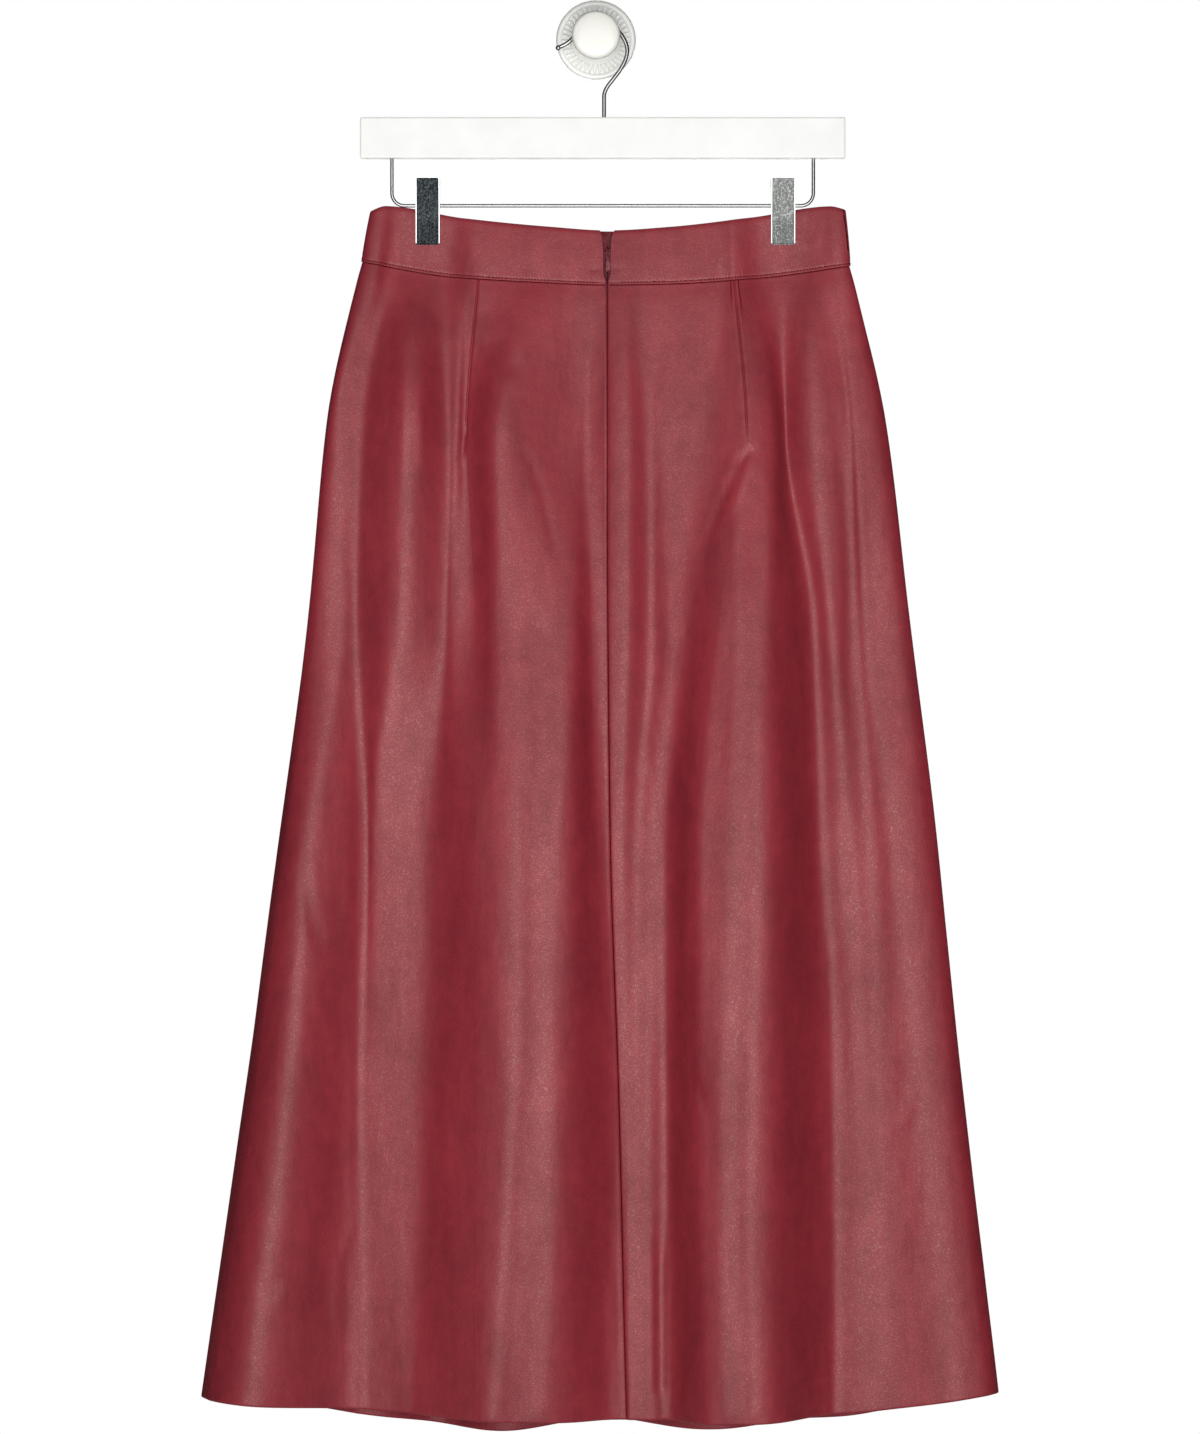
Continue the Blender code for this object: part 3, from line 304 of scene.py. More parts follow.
class SkirtForm:
    """The closed tube of cloth, as rings through its fold lines. Level -1 is the waistband's top
    edge, 0 the waist seam and 1 the hem; a place is a distance round the rings."""

    def __init__(self) -> None:
        """Work out the place of each fold from the average distance between neighbours."""
        self.downs = np.array([level.down for level in LEVELS])
        self.depths = np.array([level.depth for level in LEVELS])
        self.across = np.array([fold.across for fold in FOLDS], float)
        self.out = np.array([fold.out for fold in FOLDS], float)
        chords = np.hypot(np.roll(self.across, -1, axis=0) - self.across,
                          np.roll(self.out, -1, axis=0) - self.out)
        self.places = np.concatenate([[0.0], np.cumsum(chords.mean(axis=1))])
        self.girth = float(self.places[-1])
        keen = [fold.keen for fold in FOLDS]
        self.keen = np.array([*keen[-2:], *keen, *keen[:2]])
        self.side_index = FOLDS.index(SIDE_RIGHT)
        self.centre = float(self.places[FOLDS.index(CENTRE_BACK)])
        self.right = float(self.places[self.side_index])

    def place_of(self, name: str) -> float:
        """Place of the first fold with this name."""
        return float(self.places[[fold.name for fold in FOLDS].index(name)])

    def points(self, levels: Grid, places: Grid) -> Grid:
        """Points of the cloth's outer face.

        Args:
            levels: level of each row (rows).
            places: places in each row (rows, columns).

        Returns:
            Points (rows, columns, 3) in millimetres.
        """
        down, rise = np.clip(levels, 0.0, None), np.clip(-levels, 0.0, None)
        at = np.broadcast_to(down, (len(FOLDS), len(down)))
        across = smooth_line(self.downs, self.across, at).T
        out = smooth_line(self.downs, self.out, at).T * (1 - (1 - BAND_CLOSING) * rise)[:, None]
        depth = smooth_line(self.downs, self.depths, down[None, :]).T
        middle = (across[:, :1] + across[:, self.side_index, None]) / 2.0
        across = (middle + (across - middle) * (1 - (1 - BAND_NARROWING) * rise)[:, None]
                  + BAND_SHIFT * rise[:, None])
        left, right = across[:, :1], across[:, self.side_index, None]
        around = places % self.girth
        ring = np.concatenate([self.places[-3:-1] - self.girth, self.places,
                               self.places[1:2] + self.girth])
        across = np.concatenate([across[:, -2:], across, across[:, :2]], axis=1)
        out = np.concatenate([out[:, -2:], out, out[:, :2]], axis=1)
        out_slopes = slopes_through(ring, out)
        steps = np.diff(out, axis=1) / np.diff(ring)
        for i in (2, 2 + self.side_index, 2 + len(FOLDS)):
            out_slopes[:, i] = SIDE_ROUNDNESS * (steps[:, i - 1] + steps[:, i]) / 2.0
        x = smooth_line(ring, across, around)
        stand = np.zeros_like(x)
        for shift, weight in FOLD_SOFTNESS:
            stand += weight * smooth_line(ring, out, around + shift, out_slopes, self.keen)
        station = 2.0 * (x - left) / (right - left) - 1.0
        seam = smooth_line(*WAIST_SEAM, station)
        top = seam + (smooth_line(*TOP_EDGE, station) - seam) * rise[:, None]
        hem = np.where(around < self.right, smooth_line(*BACK_HEM, station),
                       smooth_line(*FRONT_HEM, station))
        z = np.where(rise[:, None] > 0.0, top, seam + (hem - seam) * down[:, None])
        return np.stack([x, -(depth + self.pinched(x, z, stand)), z], axis=-1)

    @staticmethod
    def pinched(x: Grid, z: Grid, out: Grid) -> Grid:
        """Press the waistband flat between the clips.

        Args:
            x: places across.
            z: heights, of the same shape.
            out: how far the free cloth stands out.

        Returns:
            How far the pressed cloth stands out.
        """
        below = soft_step((RAIL_Z + JAW_PROFILE[-1][0] - z) / PINCH_FADE)
        for centre in CLIP_CENTRES.values():
            aside = soft_step((np.abs(x - centre) - CLIP_WIDTH / 2.0 - PINCH_MARGIN) / PINCH_BLEND)
            free = 1.0 - (1.0 - aside) * (1.0 - below)
            pressed = np.copysign(PINCH + (np.abs(out) - PINCH) * free, out)
            out = np.where(np.abs(out) > PINCH, pressed, out)
        return out

    def frame(self, levels: Grid, places: Grid) -> tuple[Grid, Grid, Grid]:
        """Read the form with its directions.

        Args:
            levels: level of each row (rows).
            places: places in each row (rows, columns).

        Returns:
            Points, outward directions and how much length one unit of place covers.
        """
        half_step = 0.25
        before = self.points(levels, places - half_step)
        after = self.points(levels, places + half_step)
        along = (after - before)[..., :2]
        length = np.linalg.norm(along, axis=-1)
        along /= length[..., None]
        outward = np.stack([along[..., 1], -along[..., 0], np.zeros_like(length)], axis=-1)
        return self.points(levels, places), outward, length / (2.0 * half_step)


# ---- creases, listed one by one

class CreaseKind(Enum):
    """How a crease stands in the cloth."""
    TROUGH = "trough"
    RIDGE = "ridge"
    LEDGE = "ledge"


@dataclass(frozen=True)
class Crease:
    """One soft crease: its path across and up, half width, height and how its two ends fade."""
    path: tuple[Pair, ...]
    width: float
    depth: float
    kind: CreaseKind = CreaseKind.TROUGH
    fade: Pair = (0.3, 0.3)

    def relief(self, x: Grid, z: Grid) -> Grid:
        """How far this crease moves the cloth outwards.

        Args:
            x: places across.
            z: heights, of the same shape.

        Returns:
            Distances outwards, of the same shape.
        """
        moved = np.zeros_like(x)
        route = np.array([tuple(point) for point in smooth_route(self.path, 5)])
        reach = 4.0 * self.width
        low, high = route.min(axis=0) - reach, route.max(axis=0) + reach
        near = (x > low[0]) & (x < high[0]) & (z > low[1]) & (z < high[1])
        if not near.any():
            return moved
        px, pz = x[near], z[near]
        best = np.full(px.shape, 1e9)
        side = np.zeros_like(best)
        along = np.zeros_like(best)
        run = np.concatenate([[0.0], np.cumsum(np.linalg.norm(np.diff(route, axis=0), axis=1))])
        for i, (start, end) in enumerate(zip(route, route[1:])):
            dx, dz = end - start
            length = math.hypot(dx, dz)
            u = np.clip(((px - start[0]) * dx + (pz - start[1]) * dz) / length ** 2, 0.0, 1.0)
            distance = np.hypot(px - start[0] - u * dx, pz - start[1] - u * dz)
            closer = distance < best
            cross = (px - start[0]) * dz - (pz - start[1]) * dx
            best = np.where(closer, distance, best)
            side = np.where(closer, np.sign(cross), side)
            along = np.where(closer, (run[i] + u * length) / run[-1], along)
        ends = 1.0
        for share, past in zip(self.fade, (along, 1.0 - along)):
            if share:
                ends = ends * soft_step(past / share)
        shape = bump(best, self.width)
        if self.kind is CreaseKind.LEDGE:
            shape = -side * np.tanh(best / self.width) * bump(best, 2.6 * self.width)
        sign = -1.0 if self.kind is CreaseKind.TROUGH else 1.0
        moved[near] = sign * self.depth * shape * ends
        return moved


TROUGH, RIDGE, LEDGE = CreaseKind

BACK_CREASES = (
    Crease(((-92.8, -288), (-94.0, -296), (-99, -317)), 2.0, 0.8, LEDGE, (0.0, 0.6)),
    Crease(((-86, -300), (-82, -340), (-78, -388)), 8.0, 0.9),
    Crease(((116.0, -296), (107.0, -303), (97.0, -321), (86.0, -346), (72.0, -384)), 2.3, 0.9, TROUGH,
           (0.1, 0.6)),
    Crease(((121.0, -300), (111.0, -312), (101.0, -332), (92.0, -352)), 4.0, 0.5, RIDGE),
    Crease(((-77, -212), (-66, -232), (-55, -250)), 9.0, 1.0),
    Crease(((-52, -293), (-39.5, -327), (-34.3, -348), (-23.6, -398)), 2.8, 0.6, TROUGH, (0.2, 0.5)),
    Crease(((35.5, -515), (33.0, -525), (33.5, -536)), 3.5, 0.5, RIDGE, (0.4, 0.4)),
    Crease(((-165.8, -990), (-168.6, -921), (-172.5, -788), (-173.5, -650), (-174.5, -475)),
           3.2, 0.6, LEDGE, (0.0, 0.25)),
    Crease(((-168.5, -941), (-166.5, -962), (-165.0, -990)), 1.8, 1.0, TROUGH, (0.5, 0.0)),
    Crease(((-171.5, -844), (-183, -879), (-183.5, -922), (-177.8, -941)), 2.6, 0.9, RIDGE),
    Crease(((-195.7, -888), (-195.0, -927)), 3.0, 0.6),
    Crease(((-221.5, -888), (-232.3, -910)), 3.4, 1.0, LEDGE),
    Crease(((-212, -585), (-204, -625), (-195, -666)), 5.0, 1.1),
    Crease(((175.7, -547), (181, -610), (187, -673)), 4.5, 0.9),
    Crease(((232.3, -742), (225, -768), (217.3, -791)), 4.0, 0.7),
    Crease(((66.7, -734), (73, -756), (80.3, -776)), 3.6, 0.7),
    Crease(((-138.3, -212), (-138.3, -334)), 3.6, 0.6, RIDGE),
    Crease(((-124.0, -220), (-125.4, -334)), 3.6, 0.6, RIDGE),
    Crease(((168.0, -980), (167.5, -780), (167.0, -614)), 3.2, 0.6, LEDGE, (0.0, 0.15)),
    Crease(((104, -277), (101, -478), (96, -585), (91, -729), (90.5, -836), (92.5, -984)),
           7.5, 1.3, RIDGE, (0.2, 0.0)),
    Crease(((118.3, -370), (115, -478), (114.7, -585), (111, -729), (109.7, -836), (113, -984)),
           7.5, 1.3, RIDGE, (0.2, 0.0)),
    Crease(((-63.8, -370), (-53.7, -478), (-56.6, -585), (-54.5, -693), (-61, -800), (-67.4, -908),
            (-71.7, -986)), 8.0, 1.1, RIDGE, (0.2, 0.0)),
    Crease(((-25.1, -370), (-23.6, -478), (-27.2, -585), (-30.8, -693), (-31.5, -802),
            (-33.0, -908), (-36.5, -986)), 8.0, 1.1, RIDGE, (0.2, 0.0)),
    Crease(((10.1, -872), (13.7, -990)), 3.2, 0.8, RIDGE, (0.4, 0.0)),
    Crease(((45.9, -836), (45.9, -970)), 4.0, 1.3, TROUGH, (0.4, 0.0)),
    Crease(((51.5, -836), (51.0, -990)), 3.2, 0.8, RIDGE, (0.4, 0.0)),
    Crease(((-97.5, -191), (-104.6, -334), (-99.6, -406), (-95.3, -478)), 8.0, 0.8, RIDGE),
    Crease(((186.5, -277), (188.6, -334), (192.2, -406), (195.8, -478), (210.8, -514)),
          5.0, 0.7, RIDGE),
    Crease(((171.4, -248), (176, -306), (181.5, -370), (180.7, -442), (183, -514)), 5.0, 0.8),
    Crease(((-5.5, -168.8), (0.0, -168.2), (5.0, -166.8)), 1.7, 0.9),
    Crease(((10.8, -166.6), (14.5, -168.0), (18.5, -168.6)), 1.7, 0.8),
)

FRONT_CREASES = (
    Crease(((-62, -190), (-70, -290), (-66, -380)), 8.0, 0.9),
    Crease(((78, -196), (84, -270), (80, -350)), 7.0, 0.8),
    Crease(((-20, -210), (-4, -300), (-8, -390)), 9.0, 0.8, RIDGE),
    Crease(((-150, -560), (-141, -640), (-133, -700)), 4.0, 0.9),
    Crease(((160, -500), (152, -580), (148, -650)), 4.5, 0.9, LEDGE),
    Crease(((-108, -430), (-112, -640), (-118, -820), (-122, -990)), 8.0, 1.0, RIDGE, (0.2, 0.0)),
    Crease(((128, -470), (132, -660), (138, -830), (144, -985)), 8.0, 1.0, RIDGE, (0.2, 0.0)),
    Crease(((20, -520), (24, -700), (22, -860), (26, -995)), 8.0, 1.0, RIDGE, (0.2, 0.0)),
    Crease(((-4, -600), (-2, -760), (0, -900), (2, -996)), 7.0, 0.8, RIDGE, (0.2, 0.0)),
    Crease(((190, -860), (201, -905), (197, -950)), 2.8, 0.9, RIDGE),
    Crease(((-206, -800), (-196, -846), (-199, -880)), 3.2, 0.8),
    Crease(((60, -800), (70, -850), (66, -905)), 3.2, 0.7),
    Crease(((-178, -930), (-172, -992)), 1.8, 0.9, TROUGH, (0.5, 0.0)),
)


@dataclass(frozen=True)
class Relief:
    """All that stands proud of or sinks into the plain form on one face of the skirt."""
    creases: tuple[Crease, ...]
    wave_height: float = 0.28
    phase: float = 0.0

    def at(self, x: Grid, z: Grid) -> Grid:
        """Distance outwards at places on this face.

        Args:
            x: places across.
            z: heights, of the same shape.

        Returns:
            Distances outwards, of the same shape.
        """
        moved = np.zeros_like(x)
        for crease in self.creases:
            moved += crease.relief(x, z)
        drift = x + 9.0 * np.sin(z / 83.0 + self.phase)
        slow = np.sin(drift / 11.0 + 1.7 * np.sin(z / 61.0 + self.phase))
        long = np.sin(drift / 23.0 + z / 140.0 + 2.0 * self.phase)
        across = np.sin(z / 37.0 + 1.3 * np.sin(drift / 31.0)) * np.sin(x / 47.0 + self.phase)
        return moved + self.wave_height * (0.45 * slow + 0.8 * long + 0.5 * across)


BACK_RELIEF = Relief(BACK_CREASES)
FRONT_RELIEF = Relief(FRONT_CREASES, phase=1.9)


# ---- meshes from grids of points

class Row(NamedTuple):
    """A row of a cloth piece's section. An inner row names the outer row that it backs."""
    level: float
    lift: float
    inset: float
    material: int
    backs: int = -1


@dataclass
class Section:
    """The closed section of a cloth piece, as rows that run down its outer face, round its lower
    edge and up inside."""
    rows: list[Row] = field(default_factory=list)
    outer_count: int = 0
    turn_count: int = 0

    def add(self, *values: float) -> None:
        """Add one row."""
        self.rows.append(Row(*values))

    def end_faces(self, columns: int) -> list[list[int]]:
        """Faces that close both ends of the cloth.

        Args:
            columns: how many points each row has.

        Returns:
            Lists of vertex numbers.
        """
        last = self.outer_count - 1
        inner_from = self.outer_count + self.turn_count
        loops = [[last, *range(self.outer_count, inner_from + 1)]] if self.turn_count else []
        for row in range(inner_from, len(self.rows) - 1):
            low, high = self.rows[row].backs, self.rows[row + 1].backs
            loops.append([*range(high, low + 1), row, row + 1])
        first = [[row * columns for row in reversed(loop)] for loop in loops]
        final = [[row * columns + columns - 1 for row in loop] for loop in loops]
        return first + final


def mesh_object(name: str, points: Grid, faces: Iterable[Sequence[int]],
                materials: Sequence[Material], slots: Grid | None = None,
                uv: Grid | None = None) -> Piece:
    """Link a smooth mesh as a named object.

    Args:
        name: the piece's name.
        points: vertices (n, 3) in millimetres.
        faces: vertex numbers of each face.
        materials: the piece's materials.
        slots: material number of each face.
        uv: place of each vertex in the flat cloth, in metres.

    Returns:
        The object, at the origin.
    """
    mesh = bpy.data.meshes.new(name)
    mesh.from_pydata((points * MM).tolist(), [], [list(face) for face in faces])
    for material in materials:
        mesh.materials.append(material)
    if slots is not None:
        mesh.polygons.foreach_set("material_index", slots.astype(np.int32))
    if uv is not None:
        corner = np.empty(len(mesh.loops), np.int32)
        mesh.loops.foreach_get("vertex_index", corner)
        layer = mesh.uv_layers.new(name="cloth")
        layer.data.foreach_set("uv", uv[corner].astype(np.float32).ravel())
    mesh.shade_smooth()
    mesh.update()
    piece = bpy.data.objects.new(name, mesh)
    bpy.context.scene.collection.objects.link(piece)
    return piece


def cloth_shell(name: str, section: Section, points: Grid, uv: Grid,
                materials: Sequence[Material]) -> Piece:
    """Closed cloth from a section's rows of points.

    Args:
        name: the piece's name.
        section: the section the rows follow.
        points: points (rows, columns, 3) in millimetres.
        uv: place of each point in the flat cloth (rows, columns, 2) in metres.
        materials: the face's finish and the backing's.

    Returns:
        The object.
    """
    rows, columns = points.shape[:2]
    top = np.arange(rows)
    below = (top + 1) % rows
    across = np.arange(columns - 1)
    a = top[:, None] * columns + across
    b = below[:, None] * columns + across
    quads = np.stack([a, b, b + 1, a + 1], axis=-1).reshape(-1, 4).tolist()
    ends = section.end_faces(columns)
    slots = np.repeat([row.material for row in section.rows], columns - 1)
    slots = np.concatenate([slots, np.zeros(len(ends), int)])
    return mesh_object(name, points.reshape(-1, 3), quads + ends, materials, slots,
                       uv.reshape(-1, 2))


# ---- shader nodes

class Nodes:
    """Adds and links the nodes of one tree."""

    def __init__(self, tree: bpy.types.NodeTree) -> None:
        """Keep the tree."""
        self.tree = tree

    def add(self, kind: str, inputs: dict[Any, Any] | None = None, **settings: Any) -> Any:
        """Add a node.

        Args:
            kind: the node's type name.
            inputs: value or socket for each of its inputs, by name or number.
            settings: its other settings.

        Returns:
            The node.
        """
        node = self.tree.nodes.new(kind)
        for name, value in settings.items():
            setattr(node, name, value)
        for name, value in (inputs or {}).items():
            if isinstance(value, Socket):
                self.link(value, node, name)
            else:
                node.inputs[name].default_value = value
        return node

    def link(self, value: Socket, node: Any, name: str) -> None:
        """Link a value to one of a node's inputs."""
        self.tree.links.new(value, node.inputs[name])

    def math(self, operation: str, first: Any, second: Any = 0.0) -> Socket:
        """Output of one sum."""
        return self.add("ShaderNodeMath", {0: first, 1: second}, operation=operation).outputs[0]

    def ramp(self, value: Any, low: float, high: float, start: float = 0.0,
             end: float = 1.0) -> Socket:
        """A value spread from low..high onto start..end, held at both ends."""
        inputs = {"Value": value, "From Min": low, "From Max": high, "To Min": start, "To Max": end}
        return self.add("ShaderNodeMapRange", inputs, clamp=True).outputs["Result"]

    def noise(self, vector: Any, scale: Any, detail: Any = 2.0, roughness: float = 0.5,
              distortion: float = 0.0) -> Socket:
        """Uneven values about 0.5."""
        inputs = {"Vector": vector, "Scale": scale, "Detail": detail, "Roughness": roughness,
                  "Distortion": distortion}
        return self.add("ShaderNodeTexNoise", inputs).outputs["Fac"]

    def mix(self, share: Any, first: Any, second: Any) -> Socket:
        """Colour between two colours.

        Args:
            share: how much of the second.
            first: a colour or a socket.
            second: a colour or a socket.

        Returns:
            The socket with the mixed colour.
        """
        node = self.add("ShaderNodeMix", {"Factor": share}, data_type="RGBA")
        colours = [socket for socket in node.inputs if socket.type == "RGBA"]
        for socket, value in zip(colours, (first, second)):
            if isinstance(value, Socket):
                self.tree.links.new(value, socket)
            else:
                socket.default_value = (*value, 1.0)
        return next(socket for socket in node.outputs if socket.type == "RGBA")


class Effects:
    """Node groups for the effects that several finishes share."""

    def __init__(self) -> None:
        """Build each group once."""
        self.clouds = self.make("clouds", self.build_clouds, ("Scale", "Detail"), ("Mask",))
        self.speckle = self.make("speckle", self.build_speckle, ("Scale", "Amount"), ("Mask",))
        self.weave = self.make("weave", self.build_weave, ("Threads",), ("Height", "Mask"))
        self.scratches = self.make("scratches", self.build_scratches, ("Scale", "Amount"),
                                   ("Mask",))

    @staticmethod
    def make(name: str, build: Callable[[Nodes, Any, Any], None], values: Sequence[str],
             results: Sequence[str]) -> bpy.types.NodeTree:
        """Make one group.

        Args:
            name: the effect's name.
            build: adds the group's own nodes.
            values: names of the numbers it takes besides a vector.
            results: names of what it puts out.

        Returns:
            The group's tree.
        """
        group = bpy.data.node_groups.new(name, "ShaderNodeTree")
        group.interface.new_socket("Vector", in_out="INPUT", socket_type="NodeSocketVector")
        for value in values:
            group.interface.new_socket(value, in_out="INPUT", socket_type="NodeSocketFloat")
        for result in results:
            group.interface.new_socket(result, in_out="OUTPUT", socket_type="NodeSocketFloat")
        nodes = Nodes(group)
        build(nodes, nodes.add("NodeGroupInput"), nodes.add("NodeGroupOutput"))
        return group

    @staticmethod
    def build_clouds(nodes: Nodes, given: Any, result: Any) -> None:
        """Soft uneven patches."""
        noise = nodes.noise(given.outputs["Vector"], given.outputs["Scale"],
                            given.outputs["Detail"], 0.55, 0.4)
        nodes.link(nodes.ramp(noise, 0.32, 0.68), result, "Mask")

    @staticmethod
    def build_speckle(nodes: Nodes, given: Any, result: Any) -> None:
        """Fine separate specks."""
        noise = nodes.noise(given.outputs["Vector"], given.outputs["Scale"], 2.0, 0.6)
        edge = nodes.math("SUBTRACT", 0.72, nodes.math("MULTIPLY", given.outputs["Amount"], 0.3))
        specks = nodes.math("SUBTRACT", noise, edge)
        nodes.link(nodes.ramp(specks, 0.0, 0.08), result, "Mask")

    @staticmethod
    def build_weave(nodes: Nodes, given: Any, result: Any) -> None:
        """Over-and-under threads on a flat cloth map in metres."""
        inputs = {0: given.outputs["Vector"], "Scale": given.outputs["Threads"]}
        scaled = nodes.add("ShaderNodeVectorMath", inputs, operation="SCALE").outputs[0]
        split = nodes.add("ShaderNodeSeparateXYZ", {0: scaled})
        warp = nodes.math("SINE", nodes.math("MULTIPLY", split.outputs["X"], math.tau))
        weft = nodes.math("SINE", nodes.math("MULTIPLY", split.outputs["Y"], math.tau))
        checked = nodes.math("MULTIPLY", warp, weft)
        nodes.link(nodes.math("ABSOLUTE", checked), result, "Height")
        nodes.link(nodes.ramp(checked, -0.4, 0.4), result, "Mask")

    @staticmethod
    def build_scratches(nodes: Nodes, given: Any, result: Any) -> None:
        """Thin broken scratches that run both ways."""
        masks = []
        for turn in (0.35, -0.9):
            inputs = {"Vector": given.outputs["Vector"], "Rotation": (0.2, turn, 0.1),
                      "Scale": (1.0, 1.0, 0.06)}
            turned = nodes.add("ShaderNodeMapping", inputs)
            noise = nodes.noise(turned.outputs[0], given.outputs["Scale"], 3.0, 0.7)
            line = nodes.math("ABSOLUTE", nodes.math("SUBTRACT", noise, 0.5))
            masks.append(nodes.ramp(line, 0.012, 0.0))
        both = nodes.math("MAXIMUM", *masks)
        nodes.link(nodes.math("MULTIPLY", both, given.outputs["Amount"]), result, "Mask")


class FinishMaker:
    """Starts a material, places groups in it and reads the coordinates it needs."""

    def __init__(self, name: str) -> None:
        """Start an empty node material with its shader."""
        self.material = bpy.data.materials.new(name)
        self.material.use_nodes = True
        self.nodes = Nodes(self.material.node_tree)
        self.shader = self.material.node_tree.nodes["Principled BSDF"]
        coordinates = self.nodes.add("ShaderNodeTexCoord")
        self.place = coordinates.outputs["Object"]
        self.flat = coordinates.outputs["UV"]

    def group(self, tree: bpy.types.NodeTree, vector: Any, **values: float) -> Any:
        """Place a shared effect with its own values."""
        node = self.nodes.add("ShaderNodeGroup")
        node.node_tree = tree
        self.nodes.link(vector, node, "Vector")
        for name, value in values.items():
            node.inputs[name.title()].default_value = value
        return node

    def mask(self, tree: bpy.types.NodeTree, vector: Any = None,
             **values: float) -> Socket:
        """Mask of a shared effect, by place on the piece unless another vector is given."""
        vector = self.place if vector is None else vector
        return self.group(tree, vector, **values).outputs["Mask"]

    def raise_surface(self, heights: Sequence[tuple[Any, float, float]]) -> None:
        """Feed the shader's normal from a chain of bumps.

        Args:
            heights: height socket, distance in millimetres and strength of each bump.
        """
        normal = None
        for height, distance, strength in heights:
            inputs = {"Height": height, "Distance": distance * MM, "Strength": strength}
            if normal is not None:
                inputs["Normal"] = normal
            normal = self.nodes.add("ShaderNodeBump", inputs).outputs["Normal"]
        self.nodes.link(normal, self.shader, "Normal")

    def feed(self, **sockets: Any) -> Material:
        """Link or set the shader's inputs by name and give the material back."""
        for name, value in sockets.items():
            socket = self.shader.inputs[name.replace("_", " ").title().replace("Ior", "IOR")]
            if isinstance(value, Socket):
                self.nodes.tree.links.new(value, socket)
            elif socket.type == "RGBA":
                socket.default_value = (*value, 1.0)
            else:
                socket.default_value = value
        return self.material


@dataclass(frozen=True)
class LeatherFinish:
    """Coated leather cloth: a satin face with a fine pebble grain."""
    colour: Triple = (0.302, 0.0265, 0.0395)
    deep_colour: Triple = (0.196, 0.0140, 0.0250)
    grain: float = 0.85
    roughness: float = 0.50
    streaks: Triple = (1.0, 1.0, 0.30)
    glint: float = 0.40

    def build(self, effects: Effects) -> Material:
        """Make the material."""
        maker = FinishMaker("burgundy_leather")
        nodes = maker.nodes
        inputs = {"Vector": maker.place, "Scale": 1.0 / (self.grain * MM), "Smoothness": 0.6}
        pebbles = nodes.add("ShaderNodeTexVoronoi", inputs, feature="SMOOTH_F1")
        pores = nodes.noise(maker.place, 620.0, 3.0, 0.65)
        hand = nodes.noise(maker.place, 120.0, 3.0)
        drawn = nodes.add("ShaderNodeVectorMath", {0: maker.place, 1: self.streaks},
                          operation="MULTIPLY").outputs[0]
        broad = maker.mask(effects.clouds, drawn, scale=38.0, detail=5.0)
        small = maker.mask(effects.clouds, scale=95.0, detail=4.0)
        clouds = nodes.math("ADD", nodes.math("MULTIPLY", broad, 0.65),
                            nodes.math("MULTIPLY", small, 0.35))
        rolls = nodes.noise(drawn, 60.0, 2.0, 0.45)
        specks = maker.mask(effects.speckle, scale=900.0, amount=0.55)
        glints = nodes.math("MULTIPLY", specks,
                            nodes.ramp(broad, 0.0, 1.0, self.glint * 0.4, self.glint))
        tone = nodes.mix(clouds, self.deep_colour, self.colour)
        satin = nodes.ramp(clouds, 0.0, 1.0, self.roughness + 0.04, self.roughness - 0.03)
        shine = nodes.math("ADD", satin, nodes.math("MULTIPLY", specks, -0.08))
        maker.raise_surface([(rolls, 1.6, 0.5), (hand, 0.45, 0.35), (pores, 0.16, 0.6),
                             (pebbles.outputs["Distance"], 0.09, 0.6)])
        return maker.feed(base_color=tone, roughness=shine, specular_tint=(1.0, 0.80, 0.74),
                          coat_weight=glints, coat_roughness=0.38)


@dataclass(frozen=True)
class BackingFinish:
    """Brushed knit on the back of the leather cloth."""
    colour: Triple = (0.120, 0.014, 0.022)
    light: Triple = (0.165, 0.024, 0.034)
    stitches: float = 900.0

    def build(self, effects: Effects) -> Material:
        """Make the material."""
        maker = FinishMaker("knit_backing")
        weave = maker.group(effects.weave, maker.flat, threads=self.stitches)
        clouds = maker.mask(effects.clouds, scale=60.0, detail=5.0)
        share = maker.nodes.math("MULTIPLY", clouds, weave.outputs["Mask"])
        maker.raise_surface([(weave.outputs["Height"], 0.18, 0.5)])
        return maker.feed(base_color=maker.nodes.mix(share, self.colour, self.light),
                          roughness=0.9, sheen_weight=0.25, sheen_roughness=0.6)


@dataclass(frozen=True)
class TapeFinish:
    """Tightly woven zip tape and coil."""
    colour: Triple = (0.115, 0.010, 0.017)
    light: Triple = (0.190, 0.020, 0.030)
    threads: float = 700.0

    def build(self, effects: Effects) -> Material:
        """Make the material."""
        maker = FinishMaker("woven_tape")
        weave = maker.group(effects.weave, maker.flat, threads=self.threads)
        maker.raise_surface([(weave.outputs["Height"], 0.12, 0.6)])
        tone = maker.nodes.mix(weave.outputs["Mask"], self.colour, self.light)
        return maker.feed(base_color=tone, roughness=0.8)


@dataclass(frozen=True)
class ThreadAndHoleShadeFinish:
    """Dark sewing thread with a faint twist, its colour darkened further as painted shade of the
    stitch holes.
    """
    # thread colours: the thread's own dark tone, made darker as painted shade of the stitch holes
    colour: Triple = (0.070, 0.005, 0.010)
    light: Triple = (0.120, 0.010, 0.018)

    def build(self, effects: Effects) -> Material:
        """Make the material."""
        maker = FinishMaker("sewing_thread_and_painted_hole_shade")
        inputs = {"Vector": maker.place, "Scale": 900.0, "Distortion": 1.0}
        twist = maker.nodes.add("ShaderNodeTexWave", inputs, bands_direction="DIAGONAL").outputs["Fac"]
        maker.raise_surface([(twist, 0.05, 0.4)])
        return maker.feed(base_color=maker.nodes.mix(twist, self.colour, self.light), roughness=0.8,
                          specular_ior_level=0.15)


